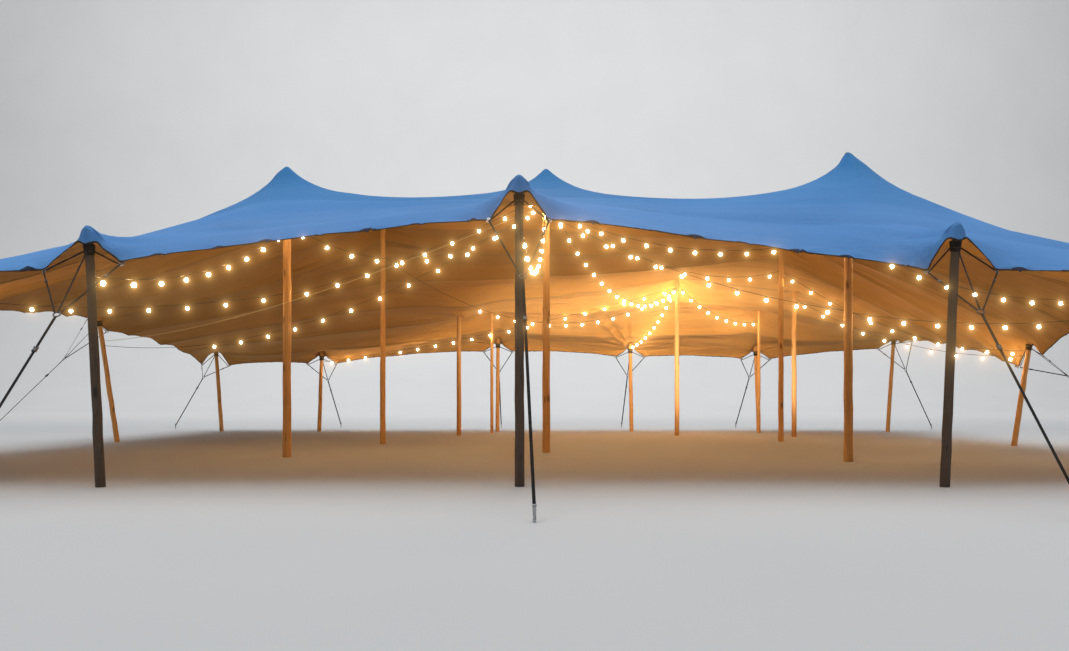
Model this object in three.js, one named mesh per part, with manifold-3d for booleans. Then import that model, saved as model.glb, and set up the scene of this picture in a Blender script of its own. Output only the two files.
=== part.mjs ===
// Stretch tent: one elastic canopy held up by timber poles, pulled down by guy lines and hung with festoon cables.
// Millimetres, +Z up, +Y away from the open front. The origin is on the ground in the middle of the whole tent,
// guy lines included; the places below are measured from a point close to it, under the middle of the canopy.
import * as THREE from "three";
import { mergeVertices } from "three/addons/utils/BufferGeometryUtils.js";
import Module from "manifold-3d";

const wasm = await Module();
wasm.setup();

// Canopy
const CANOPY_HALF_WIDTH = 9800;
const CANOPY_HALF_DEPTH = 8100;
const GRID_COLUMNS = 34;
const GRID_ROWS = 28;
const FABRIC_THICKNESS = 12;
const EDGE_TENSION = 16; // pull along the hem, against 1 in the fabric
const PEAK_TENSION = 0.18; // extra pull of the fabric towards a pole, so that its peak is full
const PEAK_REACH = 2400;
const FLAP_OUT = 100; // the tongue of fabric over the outer side of an edge pole
const FLAP_DROP = 170;
const CAP_WALL = 20;
const CAP_DEPTH = 80;
const CAP_SIDES = 8;

// Poles: radii at the foot and at the head
const MAIN_RADIUS = [72, 62];
const REAR_RADIUS = [60, 52];
const SLIM_RADIUS = [43, 38];
const EDGE_RADIUS = [57, 47];
const POLE_SIDES = 10;
const HEAD_SLOPE = 1.8; // an inner pole's head is pointed enough to stand clear inside the peak
const FRONT_LEAN = 0.1; // outward shift of the head for each unit of height
const SIDE_LEAN = 0.15;

// Guy lines
const STAKE_DISTANCE = 2950;
const STAKE_RADIUS = 16;
const STAKE_HEIGHT = 150;
const STAKE_TIE_HEIGHT = 90;
const RING_SHARE = 0.7; // place of the ring on the line from the stake to the head band
const RING_RADIUS = 50;
const RING_THICKNESS = 16;
const RING_TIE = 0.7; // the straps end this share of the radius out from the ring's middle
const LEG_SPREAD = 0.9; // angle round the ring between the middle leg and a side leg, in radians
const WEB_WIDTH = 38;
const GUY_WIDTH = 50;
const WEB_THICKNESS = 6;
const BAND_DROP = 280;
const BAND_HEIGHT = 50;
const BAND_WALL = 12;
const EYE_RADIUS = 45; // the webbing loop and ring at a hem corner
const EYE_TIE = 30; // the straps meet the eye this far outside and below the hem
const RATCHET = [110, 58, 32];

// Festoon cables and the power lead
const CABLE_RADIUS = 4.5;
const CABLE_SIDES = 8;
const CABLE_STEPS = 12;

const UP = new THREE.Vector3(0, 0, 1);
const FIT_GAP = 0.3;
const PEAK_GAP = 0.8; // between the point of an inner pole and the fabric, which may lean a little there

// Inner poles: place of the axis on the ground and height of the canopy above it
const INNER_POLES = [
  { name: "main_left", x: -4130, y: -2900, top: 4840, radius: MAIN_RADIUS },
  { name: "main_centre", x: 210, y: -1700, top: 5090, radius: MAIN_RADIUS },
  { name: "main_right", x: 4900, y: -3900, top: 4820, radius: MAIN_RADIUS },
  { name: "inner_left", x: -3180, y: 1100, top: 4760, radius: REAR_RADIUS },
  { name: "inner_right", x: 5430, y: 2100, top: 4800, radius: REAR_RADIUS },
  { name: "rear_left", x: -1900, y: 5000, top: 3110, radius: REAR_RADIUS },
  { name: "rear_centre", x: 3580, y: 5000, top: 4040, radius: REAR_RADIUS },
  { name: "rear_right", x: 6330, y: 4300, top: 3680, radius: REAR_RADIUS },
  { name: "rear_left_slim", x: -1140, y: 6500, top: 3420, radius: SLIM_RADIUS },
  { name: "rear_right_slim", x: 6000, y: 6500, top: 3370, radius: SLIM_RADIUS },
];

// Edge poles: place of the head, outward direction, height, and the two hem corners that the guy legs pull
// down, each as its reach along the hem and its drop below the head. Before is clockwise, seen from above. Some guy
// lines are not set straight: their stake or ring stands aside, counter-clockwise seen from above.
const FRONT = [0, -1];
const BACK = [0, 1];
const LEFT = [-1, 0];
const RIGHT = [1, 0];
const EDGE_POLES = [
  edgePole("front_left_corner", -9750, -7850, [-1, -1], 2550, [420, 420], [420, 420]),
  edgePole("front_left", -4940, -8150, FRONT, 2920, [486, 475], [356, 402], { ringAside: 50 }),
  edgePole("front_centre", -170, -8150, FRONT, 3480, [330, 480], [330, 480], { stakeAside: 170 }),
  edgePole("front_right", 4670, -8150, FRONT, 2960, [320, 530], [446, 520], { stakeAside: -140, ringAside: -58 }),
  edgePole("front_right_corner", 9750, -7850, [1, -1], 2600, [420, 420], [420, 420]),
  edgePole("right_front", 10050, -3600, RIGHT, 3200, [400, 450], [400, 450]),
  edgePole("right_middle", 10030, 400, RIGHT, 2250, [450, 420], [450, 620]),
  edgePole("back_right_corner", 10000, 7500, [1, 1], 2720, [500, 200], [450, 400]),
  edgePole("back_right", 6240, 7900, BACK, 2430, [400, 400], [400, 400]),
  edgePole("back_middle", 2700, 7900, BACK, 2500, [400, 400], [400, 400]),
  edgePole("back_centre", -1030, 7900, BACK, 2650, [400, 400], [400, 400]),
  edgePole("back_left", -6000, 7900, BACK, 2300, [400, 400], [400, 400]),
  edgePole("back_left_corner", -8970, 7800, [-1, 1], 2420, [400, 560], [400, 560]),
  edgePole("left_middle", -9530, 1900, LEFT, 2840, [450, 380], [450, 170]),
  edgePole("left_front", -9900, -3200, LEFT, 2750, [400, 350], [400, 400]),
];

// Cables: the poles and heights that each hangs between, and its sag below the straight line. Two that cross are
// tied to different sides of their poles.
const CABLES = [
  { name: "festoon_front_left", from: ["front_left", 2370], to: ["main_left", 3810], sag: 310 },
  { name: "festoon_left_side", from: ["left_front", 2660], to: ["main_left", 2730], sag: 210 },
  { name: "festoon_left_upper", from: ["main_left", 3900], to: ["main_centre", 4560], sag: 820, aside: 35 },
  { name: "festoon_left_lower", from: ["main_left", 2700], to: ["main_centre", 4650], sag: 170 },
  { name: "festoon_left_middle", from: ["left_middle", 2110], to: ["main_centre", 4500], sag: 860 },
  { name: "festoon_front_to_main", from: ["front_centre", 3120], to: ["main_centre", 4440], sag: 890 },
  { name: "festoon_right_upper", from: ["main_centre", 4400], to: ["main_right", 3540], sag: 470 },
  { name: "festoon_right_lower", from: ["main_centre", 4300], to: ["main_right", 2350], sag: 260 },
  { name: "festoon_inner_right", from: ["main_centre", 4570], to: ["inner_right", 3760], sag: 610 },
  { name: "festoon_deep_swag", from: ["main_centre", 4610], to: ["rear_centre", 3740], sag: 1040 },
  { name: "festoon_rear_left", from: ["rear_centre", 3720], to: ["back_left", 1940], sag: 170 },
  { name: "festoon_rear_swag", from: ["inner_left", 3930], to: ["rear_centre", 3700], sag: 1120 },
  { name: "festoon_rear_drop", from: ["rear_centre", 3840], to: ["back_middle", 2400], sag: 310 },
  { name: "festoon_rear_right", from: ["rear_centre", 3800], to: ["rear_right_slim", 2990], sag: 330 },
  { name: "festoon_side_inner", from: ["inner_right", 3760], to: ["right_middle", 1920], sag: 450 },
  { name: "festoon_side_rear", from: ["rear_right", 3380], to: ["right_middle", 1820], sag: 400 },
  { name: "festoon_side_upper", from: ["main_right", 3470], to: ["right_front", 2840], sag: 560 },
  { name: "festoon_side_lower", from: ["main_right", 2330], to: ["right_front", 2400], sag: 200 },
  { name: "power_lead", from: ["front_centre", 3040], to: ["left_middle", 2200], sag: 270 },
];

// An edge pole leans outwards from its foot to its head.
function edgePole(name, x, y, outward, top, before, after, { stakeAside = 0, ringAside = 0 } = {}) {
  const out = new THREE.Vector3(outward[0], outward[1], 0).normalize();
  const along = new THREE.Vector3(-out.y, out.x, 0);
  const lean = outward[1] === -1 ? FRONT_LEAN : SIDE_LEAN;
  const head = new THREE.Vector3(x, y, top);
  const foot = new THREE.Vector3(x, y, 0).addScaledVector(out, -lean * top);
  const corner = (side, [reach, drop]) =>
    head.clone().addScaledVector(along, side * reach).setZ(top - drop);
  return {
    name, out, along, lean, head, foot, top, stakeAside, ringAside,
    radius: EDGE_RADIUS,
    corners: [corner(-1, before), corner(1, after)],
    flap: head.clone().addScaledVector(out, FLAP_OUT).setZ(top - FLAP_DROP),
  };
}

// A solid from a three.js geometry, for joining and cutting
function solid(geometry, matrix) {
  const bare = geometry.clone();
  bare.deleteAttribute("normal");
  bare.deleteAttribute("uv");
  if (matrix) bare.applyMatrix4(matrix);
  const merged = mergeVertices(bare, 1e-3);
  return new wasm.Manifold(new wasm.Mesh({
    numProp: 3,
    vertProperties: new Float32Array(merged.attributes.position.array),
    triVerts: new Uint32Array(merged.index.array),
  }));
}

function geometryOf(body) {
  const { vertProperties, triVerts } = body.getMesh();
  const geometry = new THREE.BufferGeometry();
  geometry.setAttribute("position", new THREE.BufferAttribute(vertProperties, 3));
  geometry.setIndex(new THREE.BufferAttribute(triVerts, 1));
  geometry.computeVertexNormals();
  return geometry;
}

// Canopy grid: one value for each crossing of a column and a row
const NODE_COUNT = (GRID_COLUMNS + 1) * (GRID_ROWS + 1);
const nodeAt = (column, row) => column * (GRID_ROWS + 1) + row;
const columnOf = (x) => Math.round(((x / CANOPY_HALF_WIDTH + 1) / 2) * GRID_COLUMNS);
const rowOf = (y) => Math.round(((y / CANOPY_HALF_DEPTH + 1) / 2) * GRID_ROWS);

// The grid crossings that poles and guy legs hold, each with its place in space
function heldNodes() {
  const held = new Map();
  for (const pole of INNER_POLES) {
    held.set(nodeAt(columnOf(pole.x), rowOf(pole.y)), new THREE.Vector3(pole.x, pole.y, pole.top));
  }
  for (const pole of EDGE_POLES) {
    const outX = Math.sign(Math.round(pole.out.x));
    const outY = Math.sign(Math.round(pole.out.y));
    const column = outX ? (outX > 0 ? GRID_COLUMNS : 0) : columnOf(pole.head.x);
    const row = outY ? (outY > 0 ? GRID_ROWS : 0) : rowOf(pole.head.y);
    const neighbours = outX && outY ? [[-outX, 0], [0, -outY]] : [[outY, outX], [-outY, -outX]];
    for (const [columnStep, rowStep] of neighbours) {
      const side = columnStep * pole.along.x + rowStep * pole.along.y;
      held.set(nodeAt(column + columnStep, row + rowStep), pole.corners[side > 0 ? 1 : 0]);
    }
    held.set(nodeAt(column, row), pole.flap);
    held.set(nodeAt(column - outX, row - outY), pole.head);
  }
  return held;
}

// Every link of the grid as [first node, second node, tension]
function gridLinks() {
  const links = [];
  for (let column = 0; column <= GRID_COLUMNS; column += 1) {
    for (let row = 0; row <= GRID_ROWS; row += 1) {
      const onSide = column === 0 || column === GRID_COLUMNS;
      const onEnd = row === 0 || row === GRID_ROWS;
      if (column < GRID_COLUMNS) {
        links.push([nodeAt(column, row), nodeAt(column + 1, row), onEnd ? EDGE_TENSION : 1]);
      }
      if (row < GRID_ROWS) {
        links.push([nodeAt(column, row), nodeAt(column, row + 1), onSide ? EDGE_TENSION : 1]);
      }
    }
  }
  return links;
}

// Moves each free node to the balance point of its links, again and again, on the given axes.
function balance(nodes, links, held, axes) {
  const sweeps = 500;
  const overshoot = 1.85;
  const around = nodes.map(() => []);
  for (const [first, second, tension] of links) {
    around[first].push([second, tension]);
    around[second].push([first, tension]);
  }
  for (let sweep = 0; sweep < sweeps; sweep += 1) {
    const push = sweep < sweeps - 60 ? overshoot : 1;
    nodes.forEach((node, index) => {
      if (held.has(index)) return;
      for (const axis of axes) {
        let pull = 0;
        let total = 0;
        for (const [other, tension] of around[index]) {
          pull += tension * nodes[other][axis];
          total += tension;
        }
        node[axis] += push * (pull / total - node[axis]);
      }
    });
  }
}

// A link's tension once each inner pole draws the fabric towards itself
function peakTension(start, end, tension) {
  const middleX = (start.x + end.x) / 2;
  const middleY = (start.y + end.y) / 2;
  const length = Math.hypot(end.x - start.x, end.y - start.y);
  let extra = 0;
  for (const pole of INNER_POLES) {
    const dx = middleX - pole.x;
    const dy = middleY - pole.y;
    const distance = Math.hypot(dx, dy) + 1;
    const cosine = (dx * (end.x - start.x) + dy * (end.y - start.y)) / (distance * length);
    extra += cosine * cosine * Math.max(0, PEAK_REACH / Math.max(distance, 250) - 1);
  }
  return tension * (1 + PEAK_TENSION * extra);
}

// The middle surface of the canopy: first its plan, then its heights
function canopySurface() {
  const held = heldNodes();
  const nodes = [];
  for (let index = 0; index < NODE_COUNT; index += 1) {
    const column = Math.floor(index / (GRID_ROWS + 1));
    const row = index % (GRID_ROWS + 1);
    const x = CANOPY_HALF_WIDTH * ((2 * column) / GRID_COLUMNS - 1);
    const y = CANOPY_HALF_DEPTH * ((2 * row) / GRID_ROWS - 1);
    nodes.push(held.has(index) ? held.get(index).clone() : new THREE.Vector3(x, y, 3300));
  }
  const links = gridLinks();
  balance(nodes, links, held, ["x", "y"]);
  const pulled = links.map(([first, second, tension]) =>
    [first, second, peakTension(nodes[first], nodes[second], tension)]);
  balance(nodes, pulled, held, ["z"]);
  return nodes;
}

// A closed sheet of even thickness about the middle surface
function canopySheet(nodes) {
  const normals = nodes.map(() => new THREE.Vector3());
  const cells = [];
  for (let column = 0; column < GRID_COLUMNS; column += 1) {
    for (let row = 0; row < GRID_ROWS; row += 1) {
      const corners = [
        nodeAt(column, row), nodeAt(column + 1, row), nodeAt(column + 1, row + 1), nodeAt(column, row + 1),
      ];
      // The shorter diagonal splits the cell, so that hoods and peaks stay smooth.
      const [a, b, c, d] = corners.map((index) => nodes[index]);
      const turn = a.distanceTo(c) > b.distanceTo(d) ? 1 : 0;
      const [p, q, r, s] = turn ? [corners[1], corners[2], corners[3], corners[0]] : corners;
      cells.push([p, q, r], [p, r, s]);
    }
  }
  for (const [p, q, r] of cells) {
    const across = nodes[q].clone().sub(nodes[p]);
    const normal = across.cross(nodes[r].clone().sub(nodes[p]));
    for (const index of [p, q, r]) normals[index].add(normal);
  }
  const positions = [];
  for (const side of [0.5, -0.5]) {
    nodes.forEach((node, index) => {
      const offset = normals[index].clone().setLength(side * FABRIC_THICKNESS);
      positions.push(...node.clone().add(offset).toArray());
    });
  }
  const faces = cells.flatMap(([p, q, r]) => [p, q, r, p + NODE_COUNT, r + NODE_COUNT, q + NODE_COUNT]);
  const rim = [];
  for (let column = 0; column < GRID_COLUMNS; column += 1) rim.push(nodeAt(column, 0));
  for (let row = 0; row < GRID_ROWS; row += 1) rim.push(nodeAt(GRID_COLUMNS, row));
  for (let column = GRID_COLUMNS; column > 0; column -= 1) rim.push(nodeAt(column, GRID_ROWS));
  for (let row = GRID_ROWS; row > 0; row -= 1) rim.push(nodeAt(0, row));
  rim.forEach((first, place) => {
    const second = rim[(place + 1) % rim.length];
    faces.push(first, first + NODE_COUNT, second + NODE_COUNT, first, second + NODE_COUNT, second);
  });
  const geometry = new THREE.BufferGeometry();
  geometry.setAttribute("position", new THREE.Float32BufferAttribute(positions, 3));
  geometry.setIndex(faces);
  return solid(geometry);
}

// A post with a rounded head, sheared so that a leaning one still stands flat on the ground
function poleSolid(pole, grow = 0) {
  const [footRadius, headRadius] = pole.radius.map((radius) => radius + grow);
  const seat = pole.lean ? FABRIC_THICKNESS : FABRIC_THICKNESS / 2 + PEAK_GAP;
  const height = pole.top - seat + grow;
  const headProfile = pole.lean
    ? [[headRadius, height - 0.9 * headRadius], [0.72 * headRadius, height - 0.3 * headRadius]]
    : [[headRadius, height - HEAD_SLOPE * headRadius]];
  const profile = [[0, -grow], [footRadius, -grow], ...headProfile, [0, height]];
  const geometry = new THREE.LatheGeometry(profile.map(([x, y]) => new THREE.Vector2(x, y)), POLE_SIDES);
  geometry.rotateX(Math.PI / 2);
  const lean = pole.lean ?? 0;
  const shear = new THREE.Matrix4().set(
    1, 0, lean * (pole.out?.x ?? 0), footOf(pole).x,
    0, 1, lean * (pole.out?.y ?? 0), footOf(pole).y,
    0, 0, 1, 0,
    0, 0, 0, 1,
  );
  return solid(geometry, shear);
}

function footOf(pole) {
  return pole.foot ?? new THREE.Vector3(pole.x, pole.y, 0);
}

// The point on a pole's axis at a height
function axisPoint(pole, height) {
  const foot = footOf(pole).clone();
  if (pole.lean) foot.addScaledVector(pole.out, pole.lean * height);
  return foot.setZ(height);
}

// The rounded pocket of doubled fabric over an edge pole's head
function capSolid(pole) {
  const radius = pole.radius[1] + CAP_WALL;
  const top = pole.top + FABRIC_THICKNESS / 2;
  const profile = [
    [0, -CAP_DEPTH], [radius, -CAP_DEPTH], [0.85 * radius, -0.25 * radius], [0, 0],
  ];
  const geometry = new THREE.LatheGeometry(profile.map(([x, y]) => new THREE.Vector2(x, y)), CAP_SIDES);
  geometry.rotateX(Math.PI / 2);
  const place = axisPoint(pole, top);
  return solid(geometry, new THREE.Matrix4().makeTranslation(place.x, place.y, top));
}

// A flat strap from one point to another, its wide face turned to the given direction
function strap(start, end, facing, width, thickness = WEB_THICKNESS) {
  const run = end.clone().sub(start);
  const length = run.length();
  run.normalize();
  const wide = run.clone().cross(facing).normalize();
  const thin = run.clone().cross(wide);
  const middle = start.clone().add(end).multiplyScalar(0.5);
  const place = new THREE.Matrix4().makeBasis(run, wide, thin).setPosition(middle);
  return solid(new THREE.BoxGeometry(length, width, thickness), place);
}

// A box around a point of a strap, such as the tail's ratchet buckle
function buckle(start, end, share, facing, size) {
  const run = end.clone().sub(start).normalize();
  const middle = start.clone().lerp(end, share);
  const half = run.clone().multiplyScalar(size[0] / 2);
  return strap(middle.clone().sub(half), middle.clone().add(half), facing, size[1], size[2]);
}

function eyeSolid(corner, grow = 0) {
  return solid(new THREE.IcosahedronGeometry(EYE_RADIUS + grow), new THREE.Matrix4().setPosition(corner));
}

// The guy line of an edge pole: band, head straps, three legs, ring, tail and stake, joined as they are tied
function guyLineSolid(pole) {
  const band = axisPoint(pole, pole.top - BAND_DROP);
  const stakeFoot = pole.foot.clone()
    .addScaledVector(pole.out, STAKE_DISTANCE)
    .addScaledVector(pole.along, pole.stakeAside);
  const tie = stakeFoot.clone().setZ(STAKE_TIE_HEIGHT);
  const pull = band.clone().sub(tie).normalize();
  const ring = tie.clone().lerp(band, RING_SHARE).addScaledVector(pole.along, pole.ringAside);
  const onRing = (angle) => ring.clone()
    .addScaledVector(pull, RING_TIE * RING_RADIUS * Math.cos(angle))
    .addScaledVector(pole.along, RING_TIE * RING_RADIUS * Math.sin(angle));
  const onBand = (target) => {
    const way = target.clone().sub(band).setZ(0).normalize();
    return band.clone().addScaledVector(way, pole.radius[1] + 0.6 * BAND_WALL);
  };
  const facing = pole.out;
  const bandRadius = pole.radius[1] + BAND_WALL;
  const upright = new THREE.Matrix4().makeRotationX(Math.PI / 2);
  const ringAxis = pole.along.clone().cross(pull);
  const ringPlane = new THREE.Matrix4().makeBasis(pole.along, ringAxis, pole.along.clone().cross(ringAxis));
  const pieces = [
    solid(new THREE.CylinderGeometry(bandRadius, bandRadius, BAND_HEIGHT, POLE_SIDES),
      upright.clone().setPosition(band)),
    solid(new THREE.CylinderGeometry(RING_RADIUS, RING_RADIUS, RING_THICKNESS, 8), ringPlane.setPosition(ring)),
    strap(onBand(ring), onRing(0), facing, WEB_WIDTH),
    strap(onRing(Math.PI), tie, facing, GUY_WIDTH),
    buckle(onRing(Math.PI), tie, 0.22, facing, RATCHET),
    solid(new THREE.CylinderGeometry(STAKE_RADIUS, STAKE_RADIUS, STAKE_HEIGHT, 8),
      upright.clone().setPosition(stakeFoot.clone().setZ(STAKE_HEIGHT / 2))),
  ];
  pole.corners.forEach((corner, index) => {
    const end = onRing(index ? LEG_SPREAD : -LEG_SPREAD);
    const tied = corner.clone().addScaledVector(pole.out, EYE_TIE).setZ(corner.z - EYE_TIE);
    pieces.push(
      eyeSolid(corner),
      strap(tied, end, facing, WEB_WIDTH),
      strap(onBand(tied), tied, facing, WEB_WIDTH),
    );
  });
  return wasm.Manifold.union(pieces).subtract(poleSolid(pole, FIT_GAP));
}

// A cable that hangs between two poles on a shallow curve
function cableSolid(cable, poles) {
  const start = axisPoint(poles.get(cable.from[0]), cable.from[1]);
  const end = axisPoint(poles.get(cable.to[0]), cable.to[1]);
  const aside = end.clone().sub(start).setZ(0).setLength(cable.aside ?? 0).applyAxisAngle(UP, Math.PI / 2);
  const points = [];
  for (let step = 0; step <= CABLE_STEPS; step += 1) {
    const share = step / CABLE_STEPS;
    const point = start.clone().lerp(end, share).add(aside);
    point.z -= 4 * cable.sag * share * (1 - share);
    points.push(point);
  }
  const section = new THREE.Shape(new THREE.EllipseCurve(0, 0, CABLE_RADIUS, CABLE_RADIUS).getPoints(CABLE_SIDES));
  const geometry = new THREE.ExtrudeGeometry(section, {
    extrudePath: new THREE.CatmullRomCurve3(points),
    steps: CABLE_STEPS,
    bevelEnabled: false,
  });
  let body = solid(geometry);
  for (const name of [cable.from[0], cable.to[0]]) {
    body = body.subtract(poleSolid(poles.get(name), FIT_GAP));
  }
  return body;
}

const FINISHES = {
  canopy: new THREE.MeshStandardMaterial({ color: 0xc9c3b4, roughness: 0.85, metalness: 0, side: THREE.DoubleSide }),
  pine: new THREE.MeshStandardMaterial({ color: 0xb07a45, roughness: 0.7, metalness: 0 }),
  weathered: new THREE.MeshStandardMaterial({ color: 0x5a4a3e, roughness: 0.8, metalness: 0 }),
  webbing: new THREE.MeshStandardMaterial({ color: 0x16120f, roughness: 0.75, metalness: 0 }),
  cable: new THREE.MeshStandardMaterial({ color: 0x141210, roughness: 0.5, metalness: 0 }),
  lead: new THREE.MeshStandardMaterial({ color: 0xb9a98c, roughness: 0.6, metalness: 0 }),
};

const tent = new THREE.Group();

function addPiece(name, body, finish) {
  const piece = new THREE.Mesh(geometryOf(body), finish.clone());
  piece.name = name;
  tent.add(piece);
}

const poles = new Map();
for (const pole of [...INNER_POLES, ...EDGE_POLES]) poles.set(pole.name, pole);

let canopy = canopySheet(canopySurface());
for (const pole of EDGE_POLES) canopy = canopy.add(capSolid(pole));
for (const pole of poles.values()) canopy = canopy.subtract(poleSolid(pole, FIT_GAP));
for (const corner of EDGE_POLES.flatMap((pole) => pole.corners)) {
  canopy = canopy.subtract(eyeSolid(corner, FIT_GAP));
}
addPiece("canopy", canopy, FINISHES.canopy);

for (const pole of INNER_POLES) addPiece(`${pole.name}_pole`, poleSolid(pole), FINISHES.pine);
for (const pole of EDGE_POLES) {
  addPiece(`${pole.name}_pole`, poleSolid(pole), FINISHES.weathered);
  addPiece(`${pole.name}_guy_line`, guyLineSolid(pole), FINISHES.webbing);
}
for (const cable of CABLES) {
  const finish = cable.name === "power_lead" ? FINISHES.lead : FINISHES.cable;
  addPiece(cable.name, cableSolid(cable, poles), finish);
}

// The cables lie inside the reach of the guy lines, so the middle of the box is that of the tent itself.
const middle = new THREE.Box3().setFromObject(tent, true).getCenter(new THREE.Vector3());
for (const piece of tent.children) piece.geometry.translate(-middle.x, -middle.y, 0);

export default tent;
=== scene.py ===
"""Stretch tent: one elastic canopy on timber poles, with hooded edges, strap guy lines and festoon lights.

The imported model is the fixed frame: every pole's place and height is read from it. The canopy is form-found
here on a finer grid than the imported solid, and everything that is tied to it follows its hem, its peaks and
its poles.
"""

import logging
import math
import random
from collections.abc import Iterable, Iterator
from contextlib import contextmanager
from dataclasses import dataclass, field
from enum import Enum

import bpy
import numpy as np
from mathutils import Matrix, Vector


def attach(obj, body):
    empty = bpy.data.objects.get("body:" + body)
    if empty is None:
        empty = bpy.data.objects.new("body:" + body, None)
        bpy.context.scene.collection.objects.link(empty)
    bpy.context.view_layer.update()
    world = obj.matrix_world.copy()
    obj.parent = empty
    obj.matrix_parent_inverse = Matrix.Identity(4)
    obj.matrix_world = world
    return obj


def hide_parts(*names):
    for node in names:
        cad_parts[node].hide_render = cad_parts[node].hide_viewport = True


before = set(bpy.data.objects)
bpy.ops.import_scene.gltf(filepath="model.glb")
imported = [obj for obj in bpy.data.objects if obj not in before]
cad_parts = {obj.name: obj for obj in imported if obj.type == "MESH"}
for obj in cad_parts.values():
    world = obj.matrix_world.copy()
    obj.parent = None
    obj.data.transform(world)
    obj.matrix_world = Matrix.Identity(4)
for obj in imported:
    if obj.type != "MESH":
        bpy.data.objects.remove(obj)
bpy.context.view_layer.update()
BODY = "root"
LOG = logging.getLogger("stretch_tent")

# The middle of the canopy's cut on the ground, from the middle of the whole tent
CUT_CENTRE = Vector((-0.1025, 0.1515, 0.0))
CUT_HALF_WIDTH = 9.8
CUT_HALF_DEPTH = 8.1

# Places of the poles that meet the canopy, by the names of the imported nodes
INNER_POLES = (
    "main_left", "main_centre", "main_right", "inner_left", "inner_right",
    "rear_left", "rear_centre", "rear_right", "rear_left_slim", "rear_right_slim",
)


class Side(Enum):
    """The side of the canopy that an edge pole stands on, as the outward step in columns and rows."""

    FRONT = (0, -1)
    BACK = (0, 1)
    LEFT = (-1, 0)
    RIGHT = (1, 0)
    FRONT_LEFT = (-1, -1)
    FRONT_RIGHT = (1, -1)
    BACK_LEFT = (-1, 1)
    BACK_RIGHT = (1, 1)


# Each edge pole's side, and the two hem corners that its guy legs pull down: reach along the hem and drop,
# in metres
EDGE_POLES = {
    "front_left_corner": (Side.FRONT_LEFT, (0.42, 0.42), (0.42, 0.42)),
    "front_left": (Side.FRONT, (0.486, 0.475), (0.356, 0.402)),
    "front_centre": (Side.FRONT, (0.33, 0.48), (0.33, 0.48)),
    "front_right": (Side.FRONT, (0.32, 0.53), (0.446, 0.52)),
    "front_right_corner": (Side.FRONT_RIGHT, (0.42, 0.42), (0.42, 0.42)),
    "right_front": (Side.RIGHT, (0.40, 0.45), (0.40, 0.45)),
    "right_middle": (Side.RIGHT, (0.45, 0.42), (0.45, 0.62)),
    "back_right_corner": (Side.BACK_RIGHT, (0.50, 0.20), (0.45, 0.40)),
    "back_right": (Side.BACK, (0.40, 0.40), (0.40, 0.40)),
    "back_middle": (Side.BACK, (0.40, 0.40), (0.40, 0.40)),
    "back_centre": (Side.BACK, (0.40, 0.40), (0.40, 0.40)),
    "back_left": (Side.BACK, (0.40, 0.40), (0.40, 0.40)),
    "back_left_corner": (Side.BACK_LEFT, (0.40, 0.56), (0.40, 0.56)),
    "left_middle": (Side.LEFT, (0.45, 0.38), (0.45, 0.17)),
    "left_front": (Side.LEFT, (0.40, 0.35), (0.40, 0.40)),
}

# Guy lines that are not set straight: how far the stake and the ring stand aside, counter-clockwise seen
# from above
ASIDE = {"front_left": (0.0, 0.05), "front_centre": (0.17, 0.0), "front_right": (-0.14, -0.058)}


@dataclass(frozen=True)
class Run:
    """Where a cable hangs.

    Attributes:
        start: the pole that it leaves.
        leaves: the height there in metres.
        end: the pole that it reaches.
        reaches: the height there.
        sag: how far its middle hangs below the straight line.
        spacing: the distance between two lamps, or 0 for a plain cable.
        bare: the length at its start that has no lamps, or less than 0 where the first one hangs nearer.
        aside: how far it is tied to one side of its poles.
    """

    start: str
    leaves: float
    end: str
    reaches: float
    sag: float
    spacing: float = 0.5
    bare: float = 0.0
    aside: float = 0.0


CABLES = {
    "festoon_front_left": Run("front_left", 2.37, "main_left", 3.81, 0.31, 0.62, bare=-0.13),
    "festoon_left_side": Run("left_front", 2.66, "main_left", 2.73, 0.21, 0.60),
    "festoon_left_upper": Run("main_left", 3.90, "main_centre", 4.56, 0.82, 0.42, aside=0.035),
    "festoon_left_lower": Run("main_left", 2.70, "main_centre", 4.65, 0.17, 0.53),
    "festoon_left_middle": Run("left_middle", 2.11, "main_centre", 4.50, 0.86, 0.66, bare=2.6),
    "festoon_front_to_main": Run("front_centre", 3.12, "main_centre", 4.44, 0.89, 0.50),
    "festoon_right_upper": Run("main_centre", 4.40, "main_right", 3.54, 0.47, 0.44),
    "festoon_right_lower": Run("main_centre", 4.30, "main_right", 2.35, 0.26, 0.50),
    "festoon_inner_right": Run("main_centre", 4.57, "inner_right", 3.76, 0.61, 0.64),
    "festoon_deep_swag": Run("main_centre", 4.61, "rear_centre", 3.74, 1.04, 0.42),
    "festoon_rear_left": Run("rear_centre", 3.72, "back_left", 1.94, 0.17, 0.52),
    "festoon_rear_swag": Run("inner_left", 3.93, "rear_centre", 3.70, 1.12, 0.44, bare=2.2),
    "festoon_rear_drop": Run("rear_centre", 3.84, "back_middle", 2.40, 0.31, 0.30),
    "festoon_rear_right": Run("rear_centre", 3.80, "rear_right_slim", 2.99, 0.33, 0.34),
    "festoon_side_inner": Run("inner_right", 3.76, "right_middle", 1.92, 0.45, 0.45),
    "festoon_side_rear": Run("rear_right", 3.38, "right_middle", 1.82, 0.40, 0.53),
    "festoon_side_upper": Run("main_right", 3.47, "right_front", 2.84, 0.56, 0.46),
    "festoon_side_lower": Run("main_right", 2.33, "right_front", 2.40, 0.20, 0.55),
    "power_lead": Run("front_centre", 3.04, "left_middle", 2.20, 0.27, 0.0),
}


def deselect() -> None:
    """Leave nothing selected, in object mode."""
    if bpy.context.object is not None and bpy.context.object.mode != "OBJECT":
        bpy.ops.object.mode_set(mode="OBJECT")
    bpy.ops.object.select_all(action="DESELECT")


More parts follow.
